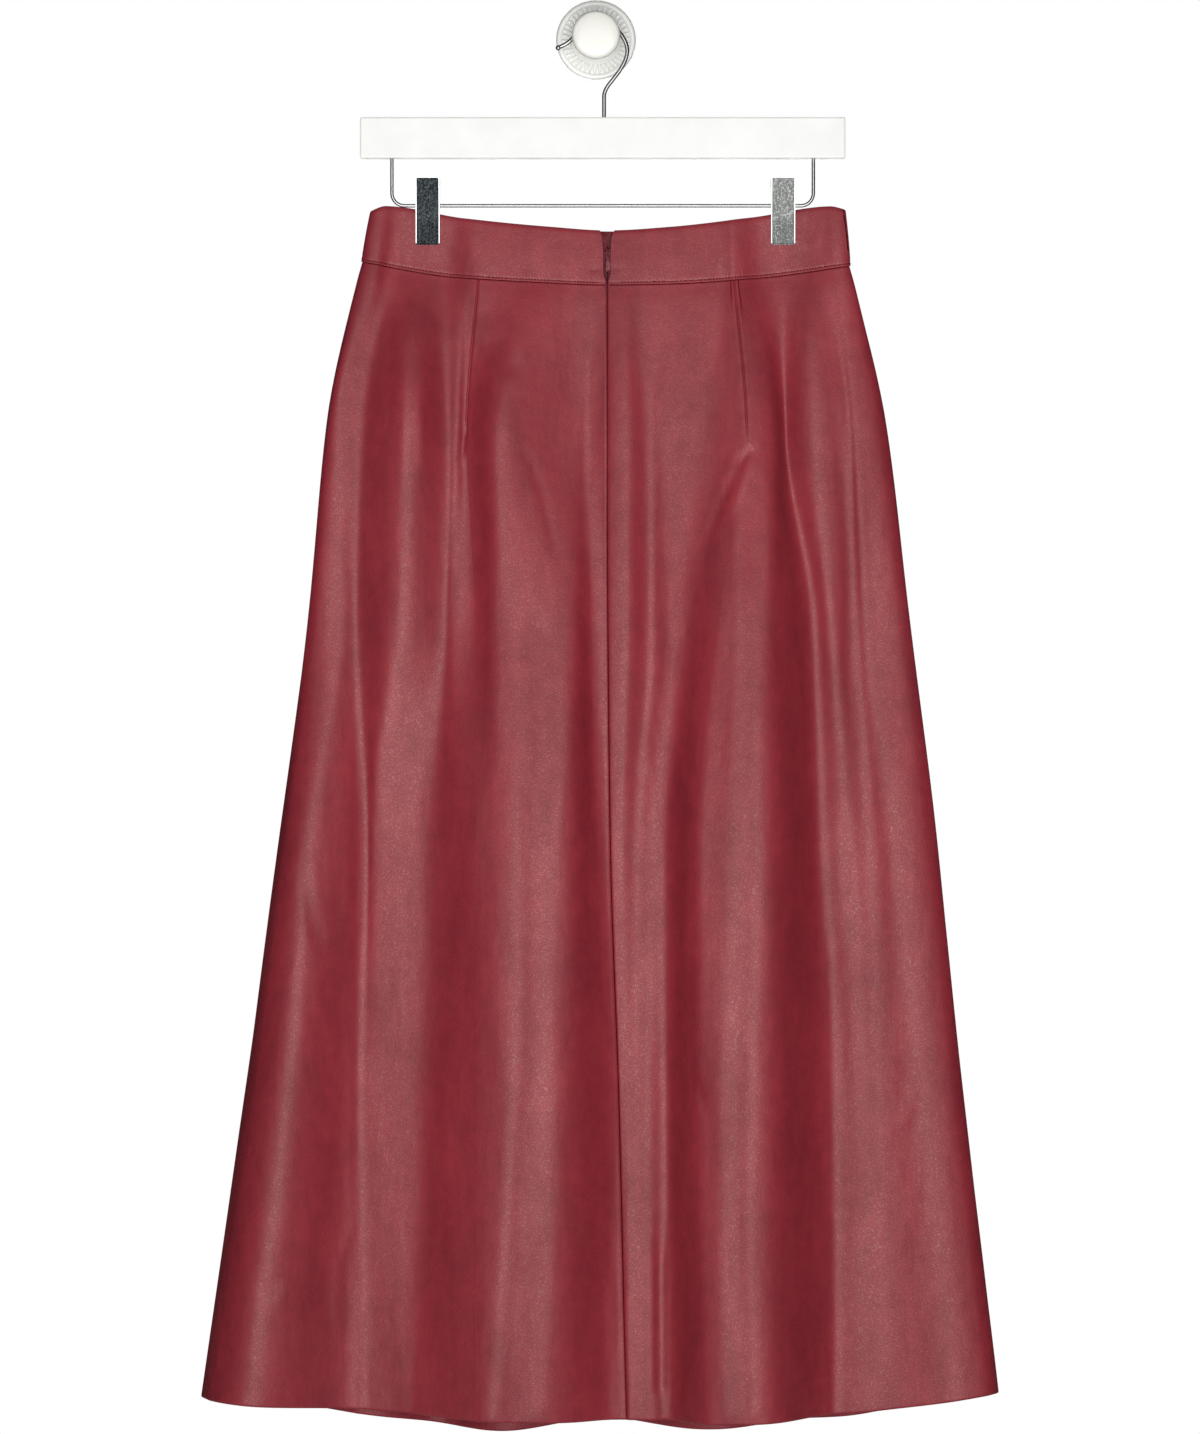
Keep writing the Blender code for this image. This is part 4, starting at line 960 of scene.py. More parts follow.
@dataclass(frozen=True)
class CoilFinish:
    """Smooth nylon of the zip's coil."""
    colour: Triple = (0.16, 0.02, 0.03)
    light: Triple = (0.22, 0.03, 0.045)

    def build(self, effects: Effects) -> Material:
        """Make the material."""
        maker = FinishMaker("zip_coil")
        clouds = maker.mask(effects.clouds, scale=400.0, detail=2.0)
        return maker.feed(base_color=maker.nodes.mix(clouds, self.colour, self.light),
                          roughness=maker.nodes.ramp(clouds, 0.0, 1.0, 0.24, 0.34))


@dataclass(frozen=True)
class EnamelFinish:
    """Burgundy enamel over metal, rubbed bright at the pull tab."""
    colour: Triple = (0.145, 0.012, 0.020)
    bare: Triple = (0.30, 0.20, 0.19)

    def build(self, effects: Effects) -> Material:
        """Make the material."""
        maker = FinishMaker("enamelled_metal")
        nodes = maker.nodes
        clouds = maker.mask(effects.clouds, scale=420.0, detail=4.0)
        marks = maker.mask(effects.scratches, scale=700.0, amount=0.5)
        worn = nodes.math("MAXIMUM", nodes.ramp(clouds, 0.90, 1.0, 0.0, 0.5), marks)
        tone = nodes.mix(worn, self.colour, self.bare)
        return maker.feed(base_color=tone, roughness=nodes.ramp(worn, 0.0, 1.0, 0.40, 0.30),
                          metallic=nodes.ramp(worn, 0.1, 1.0, 0.0, 0.9),
                          specular_ior_level=0.18)


class ChromeReflectionAndWear(Enum):
    """A chrome piece's tone, scratch amount and roughness. The two clip plates' tones hold painted
    reflections: the left plate is painted nearly black and the right one dim.
    """
    WIRE = ((0.36, 0.357, 0.36), 0.02, 0.26)
    # the clip plates' tones are painted reflections, not wear: nearly black on the left, dim on the
    # right
    CLIP_PAINTED_DARK_REFLECTION = ((0.0065, 0.0075, 0.008), 1.0, 0.24)
    CLIP_PAINTED_DIM_REFLECTION = ((0.062, 0.064, 0.062), 0.7, 0.28)
    RIM = ((0.30, 0.30, 0.30), 0.1, 0.12)


@dataclass(frozen=True)
class ChromeFinish:
    """Chrome plate with fine scratches and dull patches; on the clip plates its tone also holds a
    painted reflection.
    """
    painted_reflection_and_wear: ChromeReflectionAndWear
    patches: float = 0.45            # how much darker the cloudy patches of a worn piece are
    scuffs: float = 4.5              # how much lighter its scratches are

    def build(self, effects: Effects) -> Material:
        """Make the material."""
        tone, amount, roughness = self.painted_reflection_and_wear.value
        maker = FinishMaker("chrome_" + self.painted_reflection_and_wear.name.lower())
        nodes = maker.nodes
        clouds = maker.mask(effects.clouds, scale=210.0, detail=5.0)
        marks = maker.mask(effects.scratches, scale=260.0, amount=amount)
        specks = maker.mask(effects.speckle, scale=700.0, amount=0.3 + amount * 0.4)
        dull = nodes.math("MAXIMUM", marks, nodes.math("MULTIPLY", specks, amount))
        darker = tuple(part * (1.0 - self.patches * amount) for part in tone)
        lighter = tuple(part * (1.0 + self.scuffs * amount) for part in tone)
        colour = nodes.mix(dull, nodes.mix(clouds, darker, tone), lighter)
        rough = nodes.math("ADD", nodes.ramp(clouds, 0.0, 1.0, roughness, roughness + 0.08),
                           nodes.math("MULTIPLY", dull, 0.18))
        maker.raise_surface([(dull, 0.02, 0.3)])
        return maker.feed(base_color=colour, roughness=rough, metallic=1.0)


@dataclass(frozen=True)
class PaintFinish:
    """Smooth white paint or lacquer with a faint unevenness."""
    name: str
    colour: Triple
    shade: Triple
    roughness: float
    coat: float = 0.0

    def build(self, effects: Effects) -> Material:
        """Make the material."""
        maker = FinishMaker(self.name)
        nodes = maker.nodes
        clouds = maker.mask(effects.clouds, scale=35.0, detail=4.0)
        specks = maker.mask(effects.speckle, scale=500.0, amount=0.15)
        tone = nodes.mix(nodes.math("MULTIPLY", clouds, 0.6), self.colour, self.shade)
        tone = nodes.mix(nodes.math("MULTIPLY", specks, 0.2), tone, self.shade)
        maker.raise_surface([(nodes.noise(maker.place, 300.0), 0.015, 0.3)])
        rough = nodes.ramp(clouds, 0.0, 1.0, self.roughness, self.roughness + 0.08)
        return maker.feed(base_color=tone, roughness=rough, coat_weight=self.coat,
                          coat_roughness=0.15)


@dataclass
class Finishes:
    """Every material of the part, made once."""
    effects: Effects = field(default_factory=Effects)

    def __post_init__(self) -> None:
        """Make the materials."""
        effects = self.effects
        self.leather = LeatherFinish().build(effects)
        self.backing = BackingFinish().build(effects)
        self.tape = TapeFinish().build(effects)
        # the thread's colour also holds painted shade of the stitch holes
        self.thread = ThreadAndHoleShadeFinish().build(effects)
        self.coil = CoilFinish().build(effects)
        self.enamel = EnamelFinish().build(effects)
        self.wire = ChromeFinish(ChromeReflectionAndWear.WIRE).build(effects)
        # each clip plate's tone is a painted reflection: painted nearly black on the left, dim on the
        # right
        self.clip = {"left": ChromeFinish(ChromeReflectionAndWear.CLIP_PAINTED_DARK_REFLECTION).build(effects),
                     "right": ChromeFinish(ChromeReflectionAndWear.CLIP_PAINTED_DIM_REFLECTION).build(effects)}
        self.rim = ChromeFinish(ChromeReflectionAndWear.RIM).build(effects)
        self.bar = PaintFinish("white_lacquer", (0.92, 0.93, 0.90), (0.86, 0.87, 0.84),
                               0.34).build(effects)
        self.rosette = PaintFinish("rosette_paint", (0.93, 0.94, 0.90), (0.86, 0.87, 0.83), 0.3,
                                   0.4).build(effects)
        self.knob = PaintFinish("knob_paint", (0.90, 0.89, 0.83), (0.85, 0.84, 0.78), 0.3,
                                0.2).build(effects)


# ---- the skirt's cloth pieces

EDGE_STEPS = (0.0, 0.12, 0.35, 0.75, 1.3, 2.1, 3.3)
DART_STEPS = (-3.4, -2.2, -1.3, -0.75, -0.35, 0.0, 0.35, 0.75, 1.3, 2.2, 3.4)
CLEAR_OF_MARK = 7.5              # in units of place, so that no two columns cross
COLUMN_STEP = 2.5
INNER_EVERY = 3
PANEL_LENGTH = 815.0
BAND_HEIGHT = 39.4


def rolled(distance: Grid, radius: float, drop: float) -> Grid:
    """How far a rolled edge sinks below the face at a distance from the edge.

    Args:
        distance: distances from the edge.
        radius: how far in the roll reaches.
        drop: how far the very edge sinks.

    Returns:
        Depths, 0 beyond the radius.
    """
    u = 1.0 - np.clip(distance / radius, 0.0, 1.0)
    return drop * (1.0 - np.sqrt(np.clip(1.0 - u * u, 0.0, 1.0)))


@dataclass
class ClothPiece:
    """A cut piece between two places round the skirt, as a thin closed shell."""
    name: str
    first: float
    last: float
    relief: Relief
    flat: Pair                      # width and length in metres
    area: float
    column_step: float = COLUMN_STEP
    darts: tuple[float, ...] = ()
    edge_roll: Pair = (1.6, 1.1)    # how far in the rolled edges reach, and how far they sink

    def columns(self) -> tuple[Grid, Grid]:
        """Base place and distance beside it, in millimetres, of each column.

        Returns:
            Two arrays of one value for each column.
        """
        marks = [(self.first, GAP / 2.0 + step) for step in EDGE_STEPS]
        marks += [(self.last, -GAP / 2.0 - step) for step in EDGE_STEPS]
        marks += [(dart, step) for dart in self.darts for step in DART_STEPS]
        count = round((self.last - self.first) / self.column_step)
        even = np.linspace(self.first, self.last, count + 1)
        bases = np.array([self.first, self.last, *self.darts])
        clear = np.abs(even[:, None] - bases[None, :]).min(axis=1) > CLEAR_OF_MARK
        marks += [(float(place), 0.0) for place in even[clear]]
        base, beside = np.array(sorted(marks, key=sum)).T
        return base, beside

    def section(self) -> Section:
        """Rows of the piece's closed section."""
        raise NotImplementedError

    def spread(self, levels: Grid, base: Grid, beside: Grid) -> Grid:
        """Distance of each column beside its base at each level."""
        return beside

    def raised(self, levels: Grid, aside: Grid, points: Grid) -> Grid:
        """How far the cloth stands out from the plain form."""
        return self.relief.at(points[..., 0], points[..., 2])

    def shell(self, form: SkirtForm, materials: Sequence[Material]) -> Piece:
        """Build the piece.

        Args:
            form: the skirt's form.
            materials: the finish of its face and of its backing.

        Returns:
            The object.
        """
        section = self.section()
        levels, lifts, insets = np.array([row[:3] for row in section.rows]).T
        base, beside = self.columns()
        bases = np.broadcast_to(base, (len(levels), len(base)))
        _, _, unit = form.frame(levels, bases)
        places = bases + self.spread(levels, base, np.broadcast_to(beside, bases.shape)) / unit
        points, outward, _ = form.frame(levels, places)
        moved = self.raised(levels, places * unit, points)
        from_edge = np.minimum(places - self.first, self.last - places) * unit
        roll = rolled(from_edge - GAP / 2.0, *self.edge_roll)
        is_face = np.arange(len(levels)) < section.outer_count + section.turn_count
        inset = insets[:, None]
        depth = np.where(is_face[:, None], np.maximum(inset, roll), inset)
        points = points + outward * (moved - depth)[..., None]
        points[..., 2] += lifts[:, None]
        uv = np.stack([places, -points[..., 2]], axis=-1) * MM
        return cloth_shell(self.name, section, points, uv, materials)

    def declare(self, piece: Piece, node: str, slot: str, rests_on: Sequence[str],
                with_pieces: Sequence[Any] = ()) -> None:
        """Attach the piece to the garment's body and hide the node that it stands for."""
        settle(piece, node)


@dataclass
class Panel(ClothPiece):
    """A panel of the skirt, with its darts pressed in and its hem turned up inside."""
    row_step: float = 2.9
    dart_depth: float = 0.9
    seam_sink: float = 0.55

    def section(self) -> Section:
        """Rows from the waist seam down, round the hem and up the back of the cloth."""
        made = Section()
        start = GAP / 2.0
        count = round(PANEL_LENGTH / self.row_step)
        runs = [start + step for step in (0.0, 0.15, 0.4, 0.8, 1.3)]
        runs += [run for run in (PANEL_LENGTH * i / count for i in range(1, count))
                 if run < PANEL_LENGTH - 4.0]
        runs += [PANEL_LENGTH - 2.6, PANEL_LENGTH - CLOTH]
        for run in runs:
            made.add(run / PANEL_LENGTH, 0.0, float(rolled(np.array(run - start), 0.8, 0.45)), 0)
        made.outer_count = len(runs)
        bottom = runs[-1] / PANEL_LENGTH
        for turn in map(math.radians, range(20, 180, 20)):
            made.add(bottom, -CLOTH * math.sin(turn), CLOTH * (1.0 - math.cos(turn)), 0)
        made.turn_count = len(made.rows) - made.outer_count
        last = made.outer_count - 1
        made.add(bottom, 0.0, 2.0 * CLOTH, 0, last)
        turn_at = PANEL_LENGTH - HEM_TURN
        in_turn = True
        for i in (i for i in range(last - 1, 0, -1) if i % INNER_EVERY == 0):
            level = runs[i] / PANEL_LENGTH
            if in_turn and runs[i] < turn_at:
                for lift, layers, material in ((-0.4, 2.0, 0), (0.0, 1.85, 0), (0.3, 1.0, 1)):
                    made.add(level, lift, layers * CLOTH, material, i)
                in_turn = False
            else:
                made.add(level, 0.0, (2.0 if in_turn else 1.0) * CLOTH, 0 if in_turn else 1, i)
        made.add(runs[0] / PANEL_LENGTH, 0.22, CLOTH, 1, 0)
        return made

    def raised(self, levels: Grid, aside: Grid, points: Grid) -> Grid:
        """Add the darts' stitched lines and the cloth's dip under the waistband to the creases.

        Args:
            levels: level of each row.
            aside: places round the skirt in millimetres; not used.
            points: points of the plain form.

        Returns:
            How far each point stands out.
        """
        moved = super().raised(levels, aside, points)
        run = (levels * PANEL_LENGTH)[:, None]
        base, beside = self.columns()
        for dart in self.darts:
            here = np.where(np.abs(base - dart) < CLEAR_OF_MARK + self.column_step,
                            base - dart + beside, 99.0)
            fade = soft_step((DART_END + 0.01 - levels) / 0.025)[:, None]
            pucker = 0.12 * np.sin(run / 2.6) * bump(np.abs(here) - 1.2, 1.0)
            moved += fade * (-self.dart_depth * bump(here, 0.55)
                             + 0.15 * bump(np.abs(here) - 2.4, 1.6) + pucker)
        return moved - self.seam_sink * bump(run, 7.0) - 0.35 * bump(run - 2.0, 14.0)


@dataclass
class Waistband(ClothPiece):
    """A piece of the waistband: folded over on top and stitched down along the waist seam."""
    notch_at: float | None = None
    stitch_up: float = 1.8
    fold: float = 3.4
    notch_reach: float = 26.0

    def section(self) -> Section:
        """Rows from the fold on top down the face, round the lower edge and up inside."""
        made = Section()
        half = BAND_CLOTH / 2.0
        for turn in map(math.radians, (90, 75, 60, 45, 30, 15)):
            made.add(-1.0 + self.fold * (1 - math.sin(turn)) / BAND_HEIGHT, 0.0,
                     half * (1.0 - math.cos(turn)), 0)
        start = GAP / 2.0
        count = 22
        step = (BAND_HEIGHT - self.fold - 4.0) / count
        runs = [BAND_HEIGHT - self.fold - i * step for i in range(count + 1)]
        runs += [start + up for up in (3.4, 2.8, 2.3, 1.8, 1.3, 0.9, 0.5, 0.2, 0.0)]
        for run in runs:
            made.add(-run / BAND_HEIGHT, 0.0, float(rolled(np.array(run - start), 0.8, 0.45)), 0)
        made.outer_count = len(made.rows)
        last = made.outer_count - 1
        made.add(made.rows[last].level, 0.0, BAND_CLOTH - 0.5, 0)
        made.turn_count = 1
        made.add(made.rows[last].level - 0.4 / BAND_HEIGHT, 0.0, BAND_CLOTH, 0, last)
        for i in (i for i in range(last - 1, 5, -1) if i % 2 == 0):
            made.add(made.rows[i].level, 0.0, BAND_CLOTH, 0, i)
        for i, angle in ((4, 40), (2, 65)):
            turn = math.radians(angle)
            made.add(-1.0 + self.fold * (1 - math.sin(turn)) / BAND_HEIGHT, 0.0,
                     half * (1.0 + math.cos(turn)), 0, i)
        made.add(-1.0, 0.0, half + 0.02, 0, 0)
        return made

    def spread(self, levels: Grid, base: Grid, beside: Grid) -> Grid:
        """Open the end of the waistband along the notch at the top of the zip.

        Args:
            levels: level of each row.
            base: base place of each column.
            beside: distance of each column beside its base (rows, columns).

        Returns:
            The distances beside the bases, once the notch is open.
        """
        if self.notch_at is None:
            return beside
        notch = smooth_line(NOTCH_LEVELS, NOTCH_HALF_WIDTHS, levels[None, :])
        side = 1.0 if self.notch_at == self.first else -1.0
        aside = np.abs(base - self.notch_at) + np.abs(beside) * (base == self.notch_at)
        moved = side * (notch.T - GAP / 2.0) + NOTCH_LEAN * levels[:, None]
        return beside + moved * np.clip(1.0 - aside / self.notch_reach, 0.0, 1.0)

    def raised(self, levels: Grid, aside: Grid, points: Grid) -> Grid:
        """A slight crown, the stitch line's groove and faint ripples by the stitches."""
        up = (-levels * BAND_HEIGHT)[:, None]
        crown = 0.35 * np.sin(np.clip(up / BAND_HEIGHT, 0.0, 1.0) * math.pi)
        ripple = 0.10 * np.sin(aside / 3.4) * bump(up - 3.5, 3.0)
        groove = 0.30 * bump(up - self.stitch_up, 0.7)
        return 0.4 * self.relief.at(points[..., 0], points[..., 2]) + crown + ripple - groove

    def stitch_route(self, form: SkirtForm, start: float, end: float, pitch: float) -> list[Matrix]:
        """Places of the stitches along the waist seam.

        Args:
            form: the skirt's form.
            start: place of the first stitch.
            end: place of the last.
            pitch: length from one stitch to the next.

        Returns:
            A matrix for each stitch, its X along the seam and its Y into the cloth.
        """
        level = np.array([-self.stitch_up / BAND_HEIGHT])
        fine = np.linspace(start, end, 600)[None, :]
        points, outward, _ = form.frame(level, fine)
        moved = self.raised(level, fine, points)
        points = (points + outward * (moved - 0.02)[..., None])[0]
        outward = outward[0]
        run = np.concatenate([[0.0], np.cumsum(np.linalg.norm(np.diff(points, axis=0), axis=1))])
        places = []
        for at in np.arange(pitch / 2.0, run[-1], pitch):
            i = int(np.searchsorted(run, at))
            along = Vector(points[i] - points[i - 1]).normalized()
            into = -Vector(outward[i])
            up = along.cross(into).normalized()
            basis = Matrix((along, up.cross(along), up)).transposed().to_4x4()
            places.append(Matrix.Translation(Vector(points[i]) * MM) @ basis)
        return places


@dataclass
class ZipTape(ClothPiece):
    """One woven tape behind the edge of the back opening."""
    side: int = 1
    row_step: float = 4.0
    steps: tuple[float, ...] = (TAPE_FROM_CENTRE, 1.6, 2.4, 3.4, 4.6, 6.0, 7.5, 9.0, 10.2,
                                TAPE_WIDTH)

    def columns(self) -> tuple[Grid, Grid]:
        """Base place and distance beside it of each column, from left to right."""
        ordered = self.steps if self.side > 0 else self.steps[::-1]
        base = self.first if self.side > 0 else self.last
        return np.full(len(ordered), base), np.array([self.side * step for step in ordered])

    def section(self) -> Section:
        """Rows down the tape's front, round its lower edge and up behind."""
        made = Section()
        in_band = 10
        levels = [TAPE_TOP + i * (-0.03 - TAPE_TOP) / (in_band - 1) for i in range(in_band)]
        count = round(ZIP_END * PANEL_LENGTH / self.row_step)
        levels += [0.006 + i * (ZIP_END - 0.006) / count for i in range(count + 1)]
        for level in levels:
            made.add(level, 0.0, (BAND_CLOTH if level < 0.0 else CLOTH) + GAP, 0)
        made.outer_count = len(levels)
        last = made.outer_count - 1
        kept = {0, last, in_band - 1, in_band}
        for i in (i for i in range(last, -1, -1) if i % 2 == 0 or i in kept):
            made.add(levels[i], 0.0, made.rows[i].inset + TAPE_CLOTH, 0, i)
        return made

    def coil_route(self, form: SkirtForm, pitch: float, closed_from: float) -> list[Matrix]:
        """Places of the coil's turns along the tape's inner edge.

        Args:
            form: the skirt's form.
            pitch: length from one turn to the next.
            closed_from: how far down from the coil's top the slider closes it.

        Returns:
            A matrix for each turn.
        """
        places = []
        length = COIL_TOP * BAND_HEIGHT + (ZIP_END - 0.01) * PANEL_LENGTH
        for i in range(int(length / pitch)):
            down = i * pitch + (0.0 if self.side > 0 else pitch / 2.0)
            past = down - COIL_TOP * BAND_HEIGHT
            level = past / BAND_HEIGHT if past < 0.0 else past / PANEL_LENGTH
            parted = 0.25 + 2.1 * max(0.0, 1.0 - down / closed_from) ** 1.2
            base = self.first if self.side > 0 else self.last
            _, _, unit = form.frame(np.array([level]), np.array([[base]]))
            place = base + self.side * parted / unit[0, 0]
            point, outward, _ = form.frame(np.array([level]), np.array([[place]]))
            cover = (BAND_CLOTH if past < 0.0 else CLOTH) + GAP
            centre = Vector(point[0, 0] - outward[0, 0] * (cover + 0.1))
            turn = Matrix.Rotation(0.0 if self.side > 0 else math.pi, 4, "Y")
            places.append(Matrix.Translation(centre * MM) @ turn)
        return places


# ---- shapes worked with operators

Picker = Callable[[Any], bool]
TOWARDS_CAMERA = (math.pi / 2.0, 0.0, 0.0)      # turns a flat shape from facing up to -Y


class Bench:
    """Shapes one piece with operators, as by hand. Its own sizes are in millimetres."""

    def __init__(self, name: str) -> None:
        """Start with nothing selected."""
        self.name = name
        self.piece: Piece | None = None
        bpy.ops.object.select_all(action="DESELECT")

    def take(self, apply: bool = True) -> None:
        """Name the primitive that was just added, hold on to it and apply its place."""
        self.piece = bpy.context.object
        self.piece.name = self.name
        self.piece.data.name = self.name
        if apply:
            bpy.ops.object.transform_apply(location=True, rotation=True, scale=True)

    def disc(self, radius: float, at: Sequence[float], turn: Sequence[float] = (0.0, 0.0, 0.0),
             sides: int = 6) -> None:
        """Start with a flat disc.

        Args:
            radius: its radius.
            at: its middle.
            turn: its turn about the axes, in radians.
            sides: how many sides it has.
        """
        bpy.ops.mesh.primitive_circle_add(vertices=sides, radius=radius * MM, fill_type="NGON",
                                          location=Vector(at) * MM, rotation=turn)
        self.take()

    def block(self, at: Sequence[float], size: Sequence[float]) -> None:
        """Start with a block of this size about a middle."""
        bpy.ops.mesh.primitive_cube_add(size=1.0, location=Vector(at) * MM, scale=Vector(size) * MM)
        self.take()

    def extrude(self, across: float, out: float, up: float) -> None:
        """Extrude what is selected by a step along X, Y and Z."""
        step = tuple(part * MM for part in (across, out, up))
        bpy.ops.mesh.extrude_region_move(TRANSFORM_OT_translate={"value": step})

    def face_outwards(self) -> None:
        """Select the whole mesh and turn its faces outwards."""
        bpy.ops.mesh.select_all(action="SELECT")
        bpy.ops.mesh.normals_make_consistent(inside=False)

    @contextmanager
    def editing(self) -> Iterator[None]:
        """Work in edit mode, with the whole mesh selected at first."""
        bpy.ops.object.mode_set(mode="EDIT")
        bpy.ops.mesh.select_all(action="SELECT")
        yield
        bpy.ops.object.mode_set(mode="OBJECT")

    def pick(self, kind: str, test: Picker) -> None:
        """Select the vertices, edges or faces that pass a test.

        Args:
            kind: VERT, EDGE or FACE.
            test: says whether one of them is picked, by its own sizes in metres.
        """
        bpy.ops.mesh.select_mode(type=kind)
        bpy.ops.mesh.select_all(action="DESELECT")
        mesh = bmesh.from_edit_mesh(self.piece.data)
        for item in {"VERT": mesh.verts, "EDGE": mesh.edges, "FACE": mesh.faces}[kind]:
            if test(item):
                item.select_set(True)
        mesh.select_flush_mode()
        bmesh.update_edit_mesh(self.piece.data)

    def spin_profile(self, profile: Sequence[Pair], sides: int) -> None:
        """Raise a round shape from the wall: a disc extruded and scaled along a profile.

        Args:
            profile: radius and distance from the wall of each ring, in millimetres.
            sides: how many sides the rings have.
        """
        radius, out = profile[0]
        self.disc(radius, (0.0, -out, 0.0), TOWARDS_CAMERA, sides)
        with self.editing():
            for (before, low), (after, high) in zip(profile, profile[1:]):
                self.extrude(0.0, low - high, 0.0)
                share = after / before
                bpy.ops.transform.resize(value=(share, 1.0, share),
                                         center_override=(0.0, -high * MM, 0.0))
            self.face_outwards()

    def sweep(self, route: Sequence[Pair], depth: float, radius: float, sides: int,
              widths: Sequence[float] | None = None) -> None:
        """Draw a round wire along a route that lies parallel to the wall.

        Args:
            route: across and up, in millimetres.
            depth: how far the route stands off the wall.
            radius: the wire's radius.
            sides: how many sides the wire has.
            widths: the wire's width at each point, as a share of its radius.
        """
        widths = widths or [1.0] * len(route)
        angles = np.unwrap([math.atan2(b[0] - a[0], b[1] - a[1]) for a, b in zip(route, route[1:])])
        tilts = [angles[0], *((a + b) / 2.0 for a, b in zip(angles, angles[1:])), angles[-1]]
        self.disc(radius * widths[0], (route[0][0], -depth, route[0][1]), (0.0, tilts[0], 0.0), sides)
        with self.editing():
            for i in range(1, len(route)):
                centre = (route[i][0] * MM, -depth * MM, route[i][1] * MM)
                self.extrude(route[i][0] - route[i - 1][0], 0.0, route[i][1] - route[i - 1][1])
                bpy.ops.transform.rotate(value=tilts[i - 1] - tilts[i], orient_axis="Y",
                                         orient_type="GLOBAL", center_override=centre)
                share = widths[i] / widths[i - 1]
                if share != 1.0:
                    bpy.ops.transform.resize(value=(share,) * 3, center_override=centre)
            self.face_outwards()

    def choose(self, *others: Piece) -> None:
        """Select this piece and others, and nothing else."""
        bpy.ops.object.select_all(action="DESELECT")
        for piece in (*others, self.piece):
            piece.select_set(True)
        bpy.context.view_layer.objects.active = self.piece

    def modify(self, kind: str, **settings: Any) -> None:
        """Add a modifier with its settings and apply it."""
        modifier = self.piece.modifiers.new(kind.title(), kind)
        for key, value in settings.items():
            setattr(modifier, key, value)
        bpy.ops.object.modifier_apply(modifier=modifier.name)

    def join(self, *others: Piece) -> None:
        """Join other objects into this one."""
        self.choose(*others)
        bpy.ops.object.join()

    def finish(self, materials: Sequence[Material],
               angle: float = 40.0) -> Piece:
        """Shade the piece, give it its materials and put its origin at the frame's.

        Args:
            materials: the piece's materials.
            angle: sharpest bend that still looks smooth, in degrees.

        Returns:
            The object.
        """
        self.choose()
        bpy.ops.object.transform_apply(location=True, rotation=True, scale=True)
        bpy.ops.object.shade_smooth_by_angle(angle=math.radians(angle))
        mesh = self.piece.data
        if materials:
            mesh.materials.clear()
            mesh.polygons.foreach_set("material_index", [0] * len(mesh.polygons))
        for material in materials:
            mesh.materials.append(material)
        return self.piece


def settle(piece: Piece, node: str | None = None,
           body: str = GARMENT_BODY) -> None:
    """Attach a piece to the body that it rides and hide the node that it stands for."""
    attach(piece, body)
    if node:
        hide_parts(node)


def repeated(name: str, model: Piece, places: Sequence[Matrix],
             material: Material) -> Piece:
    """Copy a small model to every place, join the copies and remove the model.

    Args:
        name: name of the joined piece.
        model: the piece that repeats, modelled round the origin.
        places: where each copy goes.
        material: the copies' finish.

    Returns:
        The joined object.
    """
    base = np.array([vertex.co for vertex in model.data.vertices])
    copies = [base @ np.array(place.to_3x3()).T + np.array(place.translation) for place in places]
    faces = [[vertex + i * len(base) for vertex in polygon.vertices]
             for i in range(len(places)) for polygon in model.data.polygons]
    bpy.data.objects.remove(model, do_unlink=True)
    return mesh_object(name, np.concatenate(copies) / MM, faces, [material])


# ---- the skirt

